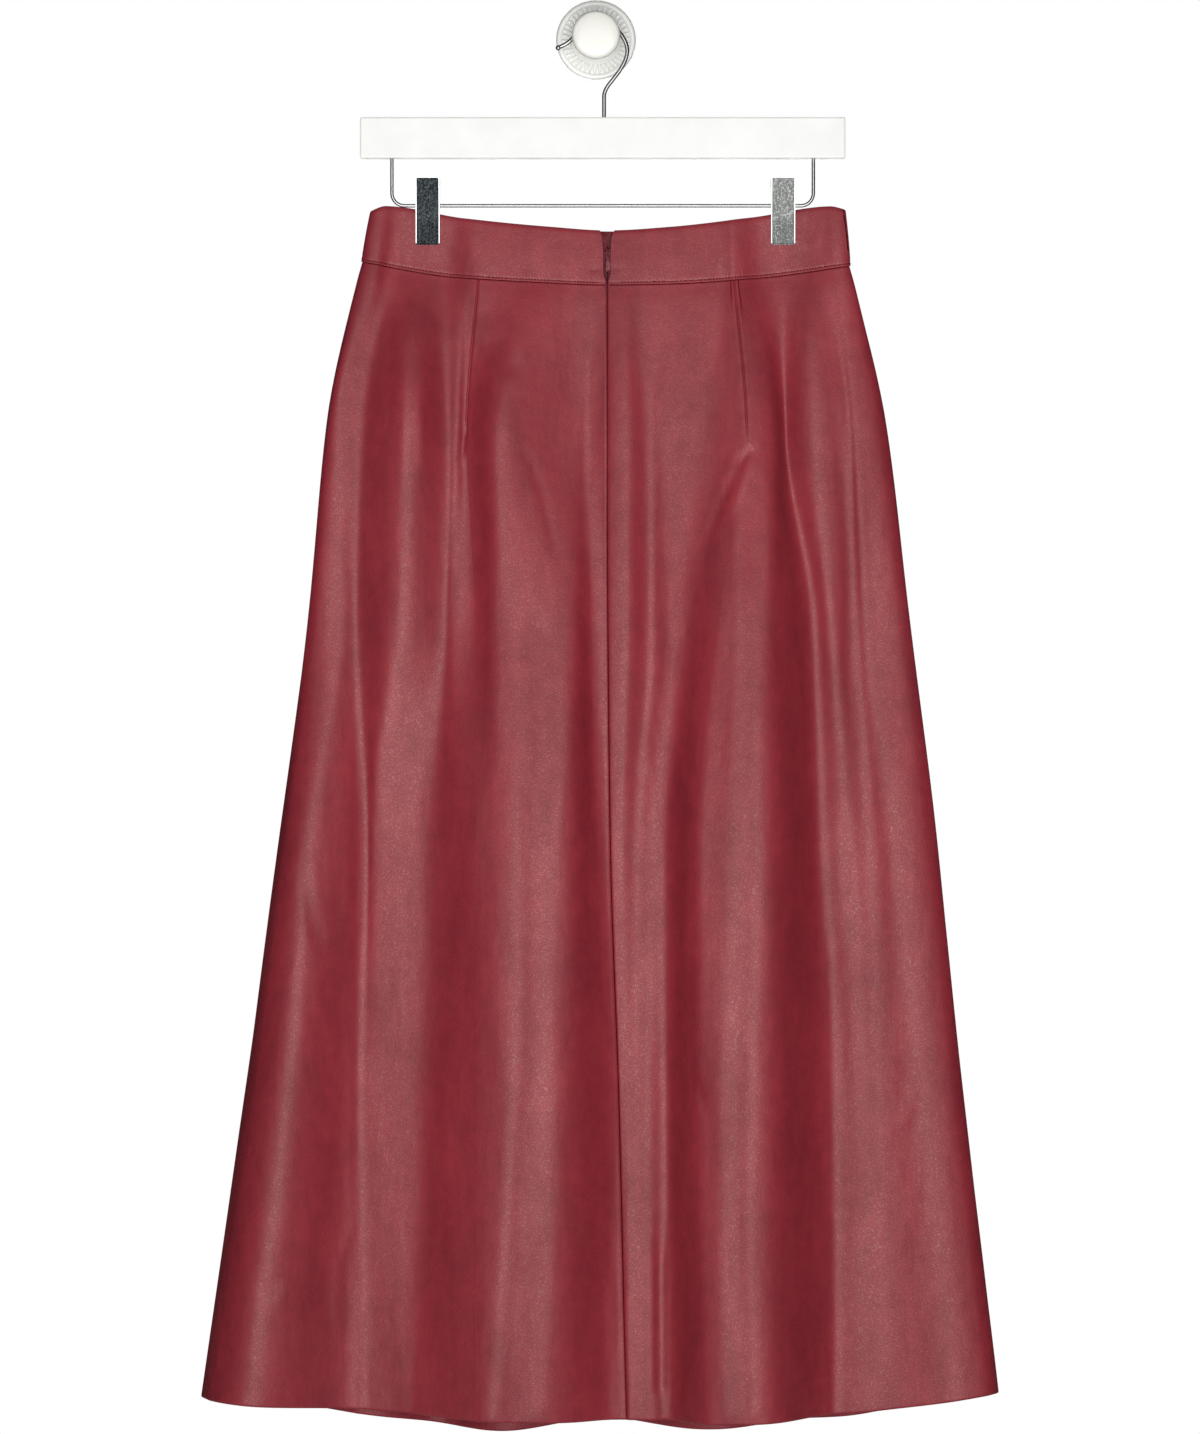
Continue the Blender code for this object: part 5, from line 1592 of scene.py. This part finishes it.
@dataclass
class Skirt:
    """All cloth pieces of the skirt, sewn together, with the stitches that hold the waistband."""
    form: SkirtForm
    finishes: Finishes
    thread: float = 0.32
    stitch_length: float = 1.75
    stitch_pitch: float = 2.2
    stitches_stop: float = 10.0      # this far from the middle of the zip

    def __post_init__(self) -> None:
        """Set out the cut pieces."""
        form = self.form
        girth, centre, right = form.girth, form.centre, form.right
        self.panels, self.bands = {}, {}
        for hand, first, last, panel_flat, panel_area, band_flat in (
                ("left", 0.0, centre, (0.350, 0.851), 0.232, (0.183, 0.042)),
                ("right", centre, right, (0.314, 0.851), 0.223, (0.181, 0.042))):
            self.panels["back_panel_" + hand] = Panel(
                f"back_{hand}_cloth", first, last, BACK_RELIEF, panel_flat, panel_area,
                darts=(form.place_of("dart " + hand),))
            self.bands["waistband_back_" + hand] = Waistband(
                f"band_{hand}_cloth", first, last, BACK_RELIEF, band_flat, 0.0075, notch_at=centre)
        self.panels["front_panel"] = Panel("front_cloth", right, girth, FRONT_RELIEF, (0.642, 0.851),
                                           0.437, column_step=3.2, row_step=3.6)
        self.bands["waistband_front"] = Waistband("band_front_cloth", right, girth, FRONT_RELIEF,
                                                  (0.370, 0.042), 0.0153)

    def stitch(self) -> Piece:
        """One stitch: a short thread that dips into the cloth at both ends.

        Returns:
            The stitch, along X about the origin.
        """
        bench = Bench("one_stitch")
        width = 0.5
        bench.disc(self.thread * width, (-self.stitch_length / 2.0, 0.6 * self.thread, 0.0),
                   (0.0, math.pi / 2.0, 0.0))
        rings = ((0.14, 0.9, -0.9), (0.36, 1.0, -0.5), (0.36, 1.0, 0.5), (0.14, 0.5, 0.9))
        with bench.editing():
            for share, wide, lift in rings:
                bench.extrude(share * self.stitch_length, lift * self.thread, 0.0)
                bpy.ops.transform.resize(value=(wide / width,) * 3)
                width = wide
            bench.face_outwards()
        return bench.finish([self.finishes.thread], 60.0)

    def build(self) -> list[Piece]:
        """Build the panels, the waistband and its stitches."""
        finishes = self.finishes
        made = []
        for node, band in self.bands.items():
            piece = band.shell(self.form, [finishes.leather, finishes.backing])
            start, end = band.first + 1.0, band.last - 1.0
            if band.notch_at == band.first:
                start = band.first + self.stitches_stop
            elif band.notch_at == band.last:
                end = band.last - self.stitches_stop
            places = band.stitch_route(self.form, start, end, self.stitch_pitch)
            row = repeated(band.name + "_stitches", self.stitch(), places, finishes.thread)
            settle(row)
            clips = [f"clip_{hand}_{jaw}_jaw" for hand in CLIP_CENTRES for jaw in ("outer", "wall")]
            band.declare(piece, node, "leather", clips, [row])
            made += [piece, row]
        for node, panel in self.panels.items():
            piece = panel.shell(self.form, [finishes.leather, finishes.backing])
            bands = ["waistband_front"] if node == "front_panel" else [
                "waistband_" + node.replace("_panel", "")]
            panel.declare(piece, node, "leather", bands)
            made.append(piece)
        return made


@dataclass
class Zip:
    """The zip: two tapes with their coil, a slider with a bail, and the tab that hangs from it."""
    form: SkirtForm
    finishes: Finishes
    coil_pitch: float = 1.5
    coil_wire: float = 0.32
    closed_from: float = 7.0
    slider_edge: float = 0.3
    bail_bend: float = 0.9
    bail_foot: float = 0.3           # how far the bail stands in the slider's plate
    tab_rim: float = 0.28
    tab_slope: Pair = (0.12, 0.16)  # how wide and how deep the step inside the rim is
    tab_edge: float = 0.12

    def turn_of_coil(self) -> Piece:
        """One turn of the coil: a small bent wire whose head faces the other tape.

        Returns:
            The turn, its head at the origin and its legs along X.
        """
        bench = Bench("one_turn")
        bench.disc(self.coil_wire, (1.9, -0.35, 0.0), (0.0, -math.pi / 2.0, 0.0))
        with bench.editing():
            for across, out, wide in ((-1.2, -0.35, 1.0), (-0.55, 0.05, 1.3), (-0.3, 0.35, 1.0),
                                      (0.35, 0.35, 0.77), (1.4, 0.2, 1.0)):
                bench.extrude(across, out, 0.0)
                bpy.ops.transform.resize(value=(1.0, 1.0, wide))
            bench.face_outwards()
        return bench.finish([self.finishes.coil], 60.0)

    def slider(self) -> Piece:
        """The slider: front plate, wedge, back plate and the bail that the tab hangs from."""
        low, high = (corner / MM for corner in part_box("zip_slider"))
        x = (low.x + high.x) / 2.0
        hinge = self.hinge()
        _, thick, tall = SLIDER_PLATE
        plate_back = -hinge.y - BAIL_REACH - thick
        z = hinge.z - tall / 4.0
        plates = []
        for name, depth, size in (
                ("slider_front", plate_back + thick / 2.0, SLIDER_PLATE),
                ("slider_back", SLIDER_BACK[1] / 2.0 - high.y, SLIDER_BACK)):
            bench = Bench(name)
            bench.block((x, -depth, z), size)
            with bench.editing():
                bench.pick("FACE", lambda face: face.normal.z < -0.9)
                bpy.ops.transform.resize(value=(0.72, 1.0, 1.0))
                bpy.ops.mesh.select_all(action="SELECT")
                bpy.ops.mesh.subdivide(number_cuts=2)
                bench.pick("VERT", lambda vert: abs(vert.co.z / MM - z) < tall * 0.25)
                bpy.ops.transform.resize(value=(0.9, 1.0, 1.0))
                bench.pick("EDGE", lambda edge: len(edge.link_faces) == 2
                           and edge.calc_face_angle() > 0.9)
                bpy.ops.mesh.bevel(offset=self.slider_edge * MM, segments=3, affect="EDGES")
            plates.append(bench.finish([self.finishes.enamel]))
        bench = Bench("slider_wedge")
        neck_wide, neck_tall = SLIDER_NECK
        bench.block((x, (high.y - plate_back) / 2.0, z),
                    (neck_wide, plate_back + high.y + thick, neck_tall))
        with bench.editing():
            bench.pick("FACE", lambda face: face.normal.z < -0.9)
            bpy.ops.transform.resize(value=(0.4, 1.0, 1.0))
        plates.append(bench.finish([self.finishes.enamel]))
        bench = Bench("zip_slider_detail")
        self.bail(bench, x, plate_back + thick, hinge.z)
        bench.join(*plates)
        return bench.finish([self.finishes.enamel])

    @staticmethod
    def hinge() -> Vector:
        """Where the tab turns about the bail, in millimetres."""
        return Vector(frame["joints"][0]["pos_m"]) / MM

    def bail(self, bench: Bench, x: float, face: float, z: float) -> None:
        """Bend the bail out of a round wire that stands on the slider's plate.

        Args:
            bench: where it is made.
            x: its middle across.
            face: distance of the plate's face from the wall.
            z: its height.
        """
        bend, foot, half = self.bail_bend, self.bail_foot, BAIL_HALF_WIDTH
        straight = BAIL_REACH - bend + foot
        bench.disc(BAIL_WIRE * 0.92, (x - half, foot - face, z), TOWARDS_CAMERA, 12)
        with bench.editing():
            bench.extrude(0.0, -straight, 0.0)
            for side in (-1, 1):
                centre = Vector((x + side * (half - bend), bend - face - BAIL_REACH, z)) * MM
                bpy.ops.mesh.spin(steps=6, angle=math.pi / 2.0, center=centre,
                                  axis=(0.0, 0.0, -1.0))
                if side < 0:
                    bench.extrude(2.0 * (half - bend), 0.0, 0.0)
            bench.extrude(0.0, straight, 0.0)
            bench.face_outwards()

    def tab(self) -> Piece:
        """The teardrop tab with its raised rim and the eye that goes round the bail."""
        low, high = (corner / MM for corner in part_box("zip_pull"))
        top = self.hinge()
        top.x = (low.x + high.x) / 2.0
        ring, ring_wire = PULL_EYE
        bench = Bench("tab_eye")
        bpy.ops.mesh.primitive_torus_add(major_segments=28, minor_segments=12,
                                         major_radius=ring * MM, minor_radius=ring_wire * MM,
                                         location=top * MM, rotation=(0.0, math.pi / 2.0, 0.0))
        bench.take()
        with bench.editing():
            bench.pick("VERT", lambda vert: vert.co.z / MM < top.z - ring * 0.6)
            bpy.ops.transform.resize(value=(1.5, 1.0, 1.0), center_override=top * MM)
        eye = bench.finish([self.finishes.enamel])
        bench = Bench("zip_pull_detail")
        length = PULL_LENGTH - PULL_HALF_WIDTH
        belly = top - Vector((0.0, 0.0, length))
        bench.disc(PULL_HALF_WIDTH, belly, TOWARDS_CAMERA, 40)
        rise = (length - ring - 0.1) / PULL_HALF_WIDTH
        with bench.editing():
            bench.pick("VERT", lambda vert: vert.co.z / MM > belly.z + 0.01)
            bpy.ops.transform.resize(value=(1.0, 1.0, rise), center_override=belly * MM)
            for share, narrow in ((0.15, 0.90), (0.32, 0.86), (0.52, 0.86), (0.72, 0.95)):
                line = belly + Vector((0.0, 0.0, share * rise * PULL_HALF_WIDTH))
                bench.pick("VERT", lambda vert, line=line: vert.co.z > line.z * MM)
                bpy.ops.transform.resize(value=(narrow, 1.0, 1.0), center_override=line * MM)
            bpy.ops.mesh.select_all(action="SELECT")
            bench.extrude(0.0, -PULL_THICK, 0.0)
            bpy.ops.mesh.select_all(action="SELECT")
            bpy.ops.transform.translate(value=(0.0, PULL_THICK * MM / 2.0, 0.0))
            bpy.ops.mesh.normals_make_consistent(inside=False)
            for side in (-1.0, 1.0):
                bench.pick("FACE", lambda face, side=side: face.normal.y * side > 0.95)
                bpy.ops.mesh.inset(thickness=self.tab_rim * MM, depth=0.0)
                wide, deep = self.tab_slope
                bpy.ops.mesh.inset(thickness=wide * MM, depth=-deep * MM)
            bench.pick("EDGE", lambda edge: len(edge.link_faces) == 2
                       and abs(edge.calc_face_angle() - math.pi / 2.0) < 0.3)
            bpy.ops.mesh.bevel(offset=self.tab_edge * MM, segments=2, affect="EDGES")
        bench.join(eye)
        return bench.finish([self.finishes.enamel])

    def build(self) -> list[Piece]:
        """Build both tapes with their coils, the slider and the tab."""
        form, finishes = self.form, self.finishes
        made = []
        for hand, side in (("left", -1), ("right", 1)):
            first, last = (0.0, form.centre) if side < 0 else (form.centre, form.right)
            tape = ZipTape(f"tape_{hand}_woven", first, last, BACK_RELIEF, (0.0110, 0.388),
                           0.0040, side=side, edge_roll=(0.01, 0.0))
            piece = tape.shell(form, [finishes.tape, finishes.tape])
            places = tape.coil_route(form, self.coil_pitch, self.closed_from)
            coil = repeated(f"zip_coil_{hand}", self.turn_of_coil(), places, finishes.coil)
            settle(coil)
            tape.declare(piece, f"zip_tape_{hand}", "zip_tape", [f"back_panel_{hand}"], [coil])
            made += [piece, coil]
        slider, tab = self.slider(), self.tab()
        settle(slider, "zip_slider")
        settle(tab, "zip_pull", TAB_BODY)
        return [*made, slider, tab]


# ---- the hanger and the knob

@dataclass
class Hanger:
    """The white bar with its wire hook, its rail and the two sprung clips."""
    finishes: Finishes
    sides: int = 20
    jaw_bend: float = 1.1
    jaw_corner: float = 1.6
    jaw_rim: float = 0.65
    jaw_slope: Pair = (0.30, 0.28)  # how wide and how deep the step inside the rim is

    def hook(self) -> Piece:
        """The wire that stands in the bar, goes over the knob's neck and ends in a ball."""
        foot = BAR_CENTRE_Z + BAR_SIZE[2] / 2.0 - WIRE_IN_BAR
        stem = [(HOOK_ROUTE[0][0], foot + i * (HOOK_ROUTE[0][1] - 2.0 - foot) / 3) for i in range(4)]
        bend = [(point.x, point.y) for point in
                smooth_route([(x, z, 0.0) for x, z in HOOK_ROUTE], 7)]
        direction = (Vector(bend[-1]) - Vector(bend[-2])).normalized()
        radius = HOOK_WIRE * HOOK_TIP
        route = [*stem, *bend]
        widths = [1.0] * len(route)
        for turn in map(math.radians, (50, 65, 80, 95, 110, 125, 140, 155, 166)):
            end = Vector(bend[-1]) + direction * radius * (1.0 - math.cos(turn))
            route.append(tuple(end))
            widths.append(HOOK_TIP * math.sin(turn))
        bench = Bench("hanger_hook_wire")
        bench.sweep(route, HANG_DEPTH, HOOK_WIRE, self.sides, widths)
        return bench.finish([self.finishes.wire])

    def rail(self) -> Piece:
        """The wire below the bar that carries the clips."""
        leg_top = BAR_CENTRE_Z - BAR_SIZE[2] / 2.0 + WIRE_IN_BAR
        bend = [(RAIL_HALF_WIDTH - RAIL_BEND * (1.0 - math.cos(angle)),
                 RAIL_Z + RAIL_BEND * (1.0 - math.sin(angle)))
                for angle in np.linspace(0.0, math.pi / 2.0, 13)]
        right = [(RAIL_HALF_WIDTH, leg_top), *bend]
        left = [(-x, z) for x, z in reversed(right)]
        route = [(HANGER_CENTRE + x, z) for x, z in [*right, *left]]
        bench = Bench("clip_rail_wire")
        bench.sweep(route, HANG_DEPTH, RAIL_WIRE, self.sides)
        return bench.finish([self.finishes.wire])

    def jaw(self, name: str, centre: float, side: int,
            materials: Sequence[Material]) -> Piece:
        """One bent sheet jaw with a rolled rim.

        Args:
            name: the piece's name.
            centre: the clip's middle across.
            side: 1 for the jaw away from the wall and -1 for the one near it.
            materials: the finish of its plate and of its rim.

        Returns:
            The object.
        """
        line = [(-HANG_DEPTH - side * out, RAIL_Z + up) for up, out in JAW_PROFILE]
        (y_top, z_top), (y_next, z_next) = line[:2]
        half = CLIP_WIDTH / 2.0
        bench = Bench(name)
        bpy.ops.mesh.primitive_plane_add(size=CLIP_WIDTH * MM, rotation=TOWARDS_CAMERA,
                                         location=Vector((centre, y_top, z_top)) * MM)
        bench.take()
        with bench.editing():
            bench.pick("VERT", lambda vert: vert.co.z > z_top * MM)
            bpy.ops.transform.translate(value=(0.0, 0.0, -half * MM))
            bench.pick("VERT", lambda vert: vert.co.z < (z_top - half / 2.0) * MM)
            bpy.ops.transform.translate(value=(0.0, (y_next - y_top) * MM,
                                               (z_next - z_top + half) * MM))
            for (y_from, z_from), (y_to, z_to) in zip(line[1:], line[2:]):
                bench.pick("EDGE", lambda edge, z=z_from: all(abs(vert.co.z - z * MM) < 1e-5
                                                              for vert in edge.verts))
                bench.extrude(0.0, y_to - y_from, z_to - z_from)
            bench.pick("EDGE", lambda edge: len(edge.link_faces) == 2)
            bpy.ops.mesh.bevel(offset=self.jaw_bend * MM, segments=3, affect="EDGES")
            bench.pick("VERT", lambda vert: len(vert.link_faces) == 1)
            bpy.ops.mesh.bevel(offset=self.jaw_corner * MM, segments=4, affect="VERTICES")
            bench.face_outwards()
            mesh = bmesh.from_edit_mesh(bench.piece.data)
            if sum(face.normal.y for face in mesh.faces) * side < 0.0:
                bpy.ops.mesh.flip_normals()
        bench.modify("SOLIDIFY", thickness=CLIP_SHEET * MM, offset=-1.0, use_even_offset=True)
        for material in materials:
            bench.piece.data.materials.append(material)
        with bench.editing():
            bench.face_outwards()
            bench.piece.active_material_index = 1
            bpy.ops.object.material_slot_assign()
            bench.pick("FACE", lambda face: face.normal.y * side < -0.5)
            bpy.ops.mesh.inset(thickness=self.jaw_rim * MM, depth=0.0)
            wide, deep = self.jaw_slope
            bpy.ops.mesh.inset(thickness=wide * MM, depth=-deep * MM)
            bench.piece.active_material_index = 0
            bpy.ops.object.material_slot_assign()
            foot = (RAIL_Z + JAW_PROFILE[-1][0] + 1.0) * MM
            bench.pick("FACE", lambda face: face.calc_center_median().z < foot)
            bpy.ops.object.material_slot_assign()
        return bench.finish([], 35.0)

    def spring(self, name: str, centre: float, material: Material) -> Piece:
        """The coil round the rail, with two arms that press the jaws' upper ends apart.

        Args:
            name: the piece's name.
            centre: the clip's middle across.
            material: its finish.

        Returns:
            The object.
        """
        arm_out = self.jaw_face(SPRING_ARM) - GAP - SPRING_WIRE
        start_x = centre - SPRING_WIDTH / 2.0
        bench = Bench(name)
        bpy.ops.mesh.primitive_circle_add(vertices=10, radius=SPRING_WIRE * MM, fill_type="NOTHING",
                                          location=(start_x * MM, -HANG_DEPTH * MM, RAIL_Z * MM))
        bench.take(apply=False)
        with bench.editing():
            bpy.ops.transform.translate(value=(0.0, -SPRING_COIL * MM, 0.0))
        halves = round(SPRING_TURNS * 2)
        bench.modify("SCREW", axis="X", angle=math.pi, steps=10, render_steps=10,
                     iterations=halves, screw_offset=SPRING_WIDTH / halves * MM)
        bpy.ops.object.transform_apply(location=True, rotation=True, scale=True)
        with bench.editing():
            for sign in (-1, 1):
                bench.pick("EDGE", lambda edge, sign=sign: len(edge.link_faces) == 1 and
                           (edge.verts[0].co.x - centre * MM) * sign > 0.0)
                bench.extrude(0.0, sign * (arm_out - SPRING_COIL), SPRING_ARM)
                bpy.ops.mesh.edge_face_add()
            bench.face_outwards()
        return bench.finish([material], 60.0)

    @staticmethod
    def jaw_face(up: float) -> float:
        """Distance of a jaw's inner face from the clip's middle plane at a height over the rail."""
        ups, outs = zip(*sorted(JAW_PROFILE))
        return float(np.interp(up, ups, outs))

    def build(self) -> list[Piece]:
        """Build the hook, the rail and both clips, and dress the bar."""
        for slot in frame["nodes"]["hanger_bar"].material_slots:
            slot.material = self.finishes.bar
        made = {"hanger_hook": self.hook(), "clip_rail": self.rail()}
        for hand, centre in CLIP_CENTRES.items():
            # the plate's finish holds a painted reflection; the rim is plain chrome
            materials = [self.finishes.clip[hand], self.finishes.rim]
            for jaw, side in (("outer", 1), ("wall", -1)):
                node = f"clip_{hand}_{jaw}_jaw"
                made[node] = self.jaw(node + "_plate", centre, side, materials)
            node = f"clip_{hand}_spring"
            made[node] = self.spring(node + "_wire", centre, self.finishes.wire)
        for node, piece in made.items():
            settle(piece, node)
        return list(made.values())


@dataclass
class WallKnob:
    """The round knob on the wall: a ribbed rosette and a cap on a neck."""
    finishes: Finishes
    ribs: int = 40
    rosette_profile: tuple[Pair, ...] = (
        (28.4, 0.0), (28.8, 0.4), (28.8, 5.4), (28.5, 6.3), (27.9, 7.1), (27.2, 7.4), (25.6, 7.4),
        (24.9, 7.1), (24.3, 6.6), (18.2, 5.8), (17.4, 5.7), (14.0, 5.3), (10.0, 5.0), (4.0, 5.0))
    knob_profile: tuple[Pair, ...] = (
        (10.0, 5.3), (9.6, 6.4), (9.0, 8.0), (9.0, 30.4), (9.5, 31.6), (11.5, 32.6), (14.0, 33.0),
        (16.0, 33.5), (17.0, 34.4), (17.3, 35.6), (17.3, 39.2), (17.1, 40.3), (16.6, 41.3),
        (15.7, 42.1), (14.6, 42.5), (11.0, 42.8), (6.0, 43.0), (2.0, 43.0))
    rib_rise: float = 0.8
    rib_edge: float = 0.18

    def rosette(self) -> Piece:
        """The dished plate against the wall with a ring of radial ribs."""
        bench = Bench("wall_rosette_plate")
        sides = self.ribs * 4
        bench.spin_profile(self.rosette_profile, sides)
        with bench.editing():
            bench.pick("FACE", lambda face: self.on_rib(face.calc_center_median()))
            bench.extrude(0.0, -self.rib_rise, 0.0)
            bpy.ops.mesh.bevel(offset=self.rib_edge * MM, segments=2, affect="EDGES")
        return bench.finish([self.finishes.rosette], 50.0)

    def on_rib(self, centre: Vector) -> bool:
        """Whether a face of the rosette's ring belongs to a rib."""
        radius = math.hypot(centre.x, centre.z) / MM
        count = math.atan2(centre.z, centre.x) / math.tau * self.ribs * 4 % 4
        return 19.0 < radius < 24.0 and -centre.y > 5.0 * MM and count < 2.0

    def knob(self) -> Piece:
        """The neck and the cap."""
        bench = Bench("wall_knob_cap")
        bench.spin_profile(self.knob_profile, 72)
        return bench.finish([self.finishes.knob], 50.0)

    def build(self) -> list[Piece]:
        """Build both pieces."""
        made = {"wall_rosette": self.rosette(), "wall_knob": self.knob()}
        for node, piece in made.items():
            settle(piece, node)
        return list(made.values())


# ---- camera, light and floor

@dataclass
class Studio:
    """Plain pale floor, soft light from the camera's side and the camera itself."""
    camera_at: Triple = (0.0029, -4.3, -0.490)
    lens: float = 148.95
    floor_z: float = -1.30
    floor_radius: float = 1.6
    white: float = 1.0
    around: float = 0.03

    def build(self) -> None:
        """Set up the floor, the lights, the surroundings and the camera."""
        self.floor()
        self.lights()
        self.surroundings()
        data = bpy.data.cameras.new("camera")
        data.lens = self.lens
        data.sensor_width = 36.0
        data.clip_end = 50.0
        camera = bpy.data.objects.new("camera", data)
        camera.location = self.camera_at
        camera.rotation_euler = TOWARDS_CAMERA
        scene = bpy.context.scene
        scene.collection.objects.link(camera)
        scene.camera = camera
        scene.view_settings.view_transform = "Standard"

    def floor(self) -> None:
        """A pale disc below the object."""
        bench = Bench("floor")
        bench.disc(self.floor_radius / MM, (0.0, -200.0, self.floor_z / MM), sides=96)
        maker = FinishMaker("floor_paint")
        clouds = maker.nodes.noise(maker.place, 6.0)
        tone = maker.nodes.mix(clouds, (0.80, 0.80, 0.79), (0.83, 0.83, 0.82))
        maker.feed(base_color=tone, roughness=0.8)
        bench.finish([maker.material])

    def lights(self) -> None:
        """A large soft light on the camera's side, a faint one above and one behind."""
        for name, place, size, power, aim in (
                ("key", (0.0, -3.1, -1.00), 2.9, 118.0, (0.0, 0.0, -0.6)),
                ("top", (0.0, -1.2, 2.2), 2.0, 4.0, (0.0, 0.0, -0.4)),
                ("behind", (0.0, 3.0, 0.2), 2.4, 50.0, (0.0, 0.0, -0.6))):
            data = bpy.data.lights.new(name, "AREA")
            data.shape = "DISK"
            data.size = size
            data.energy = power
            light = bpy.data.objects.new(name, data)
            light.location = place
            light.rotation_euler = (Vector(aim) - Vector(place)).to_track_quat("-Z", "Y").to_euler()
            bpy.context.scene.collection.objects.link(light)

    def surroundings(self) -> None:
        """White behind the object for the camera, and dimmer all round for its light."""
        world = bpy.data.worlds.new("studio")
        world.use_nodes = True
        bpy.context.scene.world = world
        nodes = Nodes(world.node_tree)
        background = world.node_tree.nodes["Background"]
        seen = nodes.add("ShaderNodeLightPath").outputs["Is Camera Ray"]
        strength = nodes.ramp(seen, 0.0, 1.0, self.around, self.white)
        nodes.link(strength, background, "Strength")
        background.inputs["Color"].default_value = (1.0, 1.0, 1.0, 1.0)


def main() -> None:
    """Build every sub-assembly in order and report each piece."""
    logging.basicConfig(level=logging.INFO, format="%(message)s")
    log = logging.getLogger("scene")
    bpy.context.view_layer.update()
    finishes = Finishes()
    form = SkirtForm()
    assemblies = [Skirt(form, finishes), Zip(form, finishes), Hanger(finishes), WallKnob(finishes)]
    for assembly in assemblies:
        for piece in assembly.build():
            log.info("%s: %s, %d faces", type(assembly).__name__, piece.name,
                     len(piece.data.polygons))
    Studio().build()


if __name__ == "__main__":
    main()
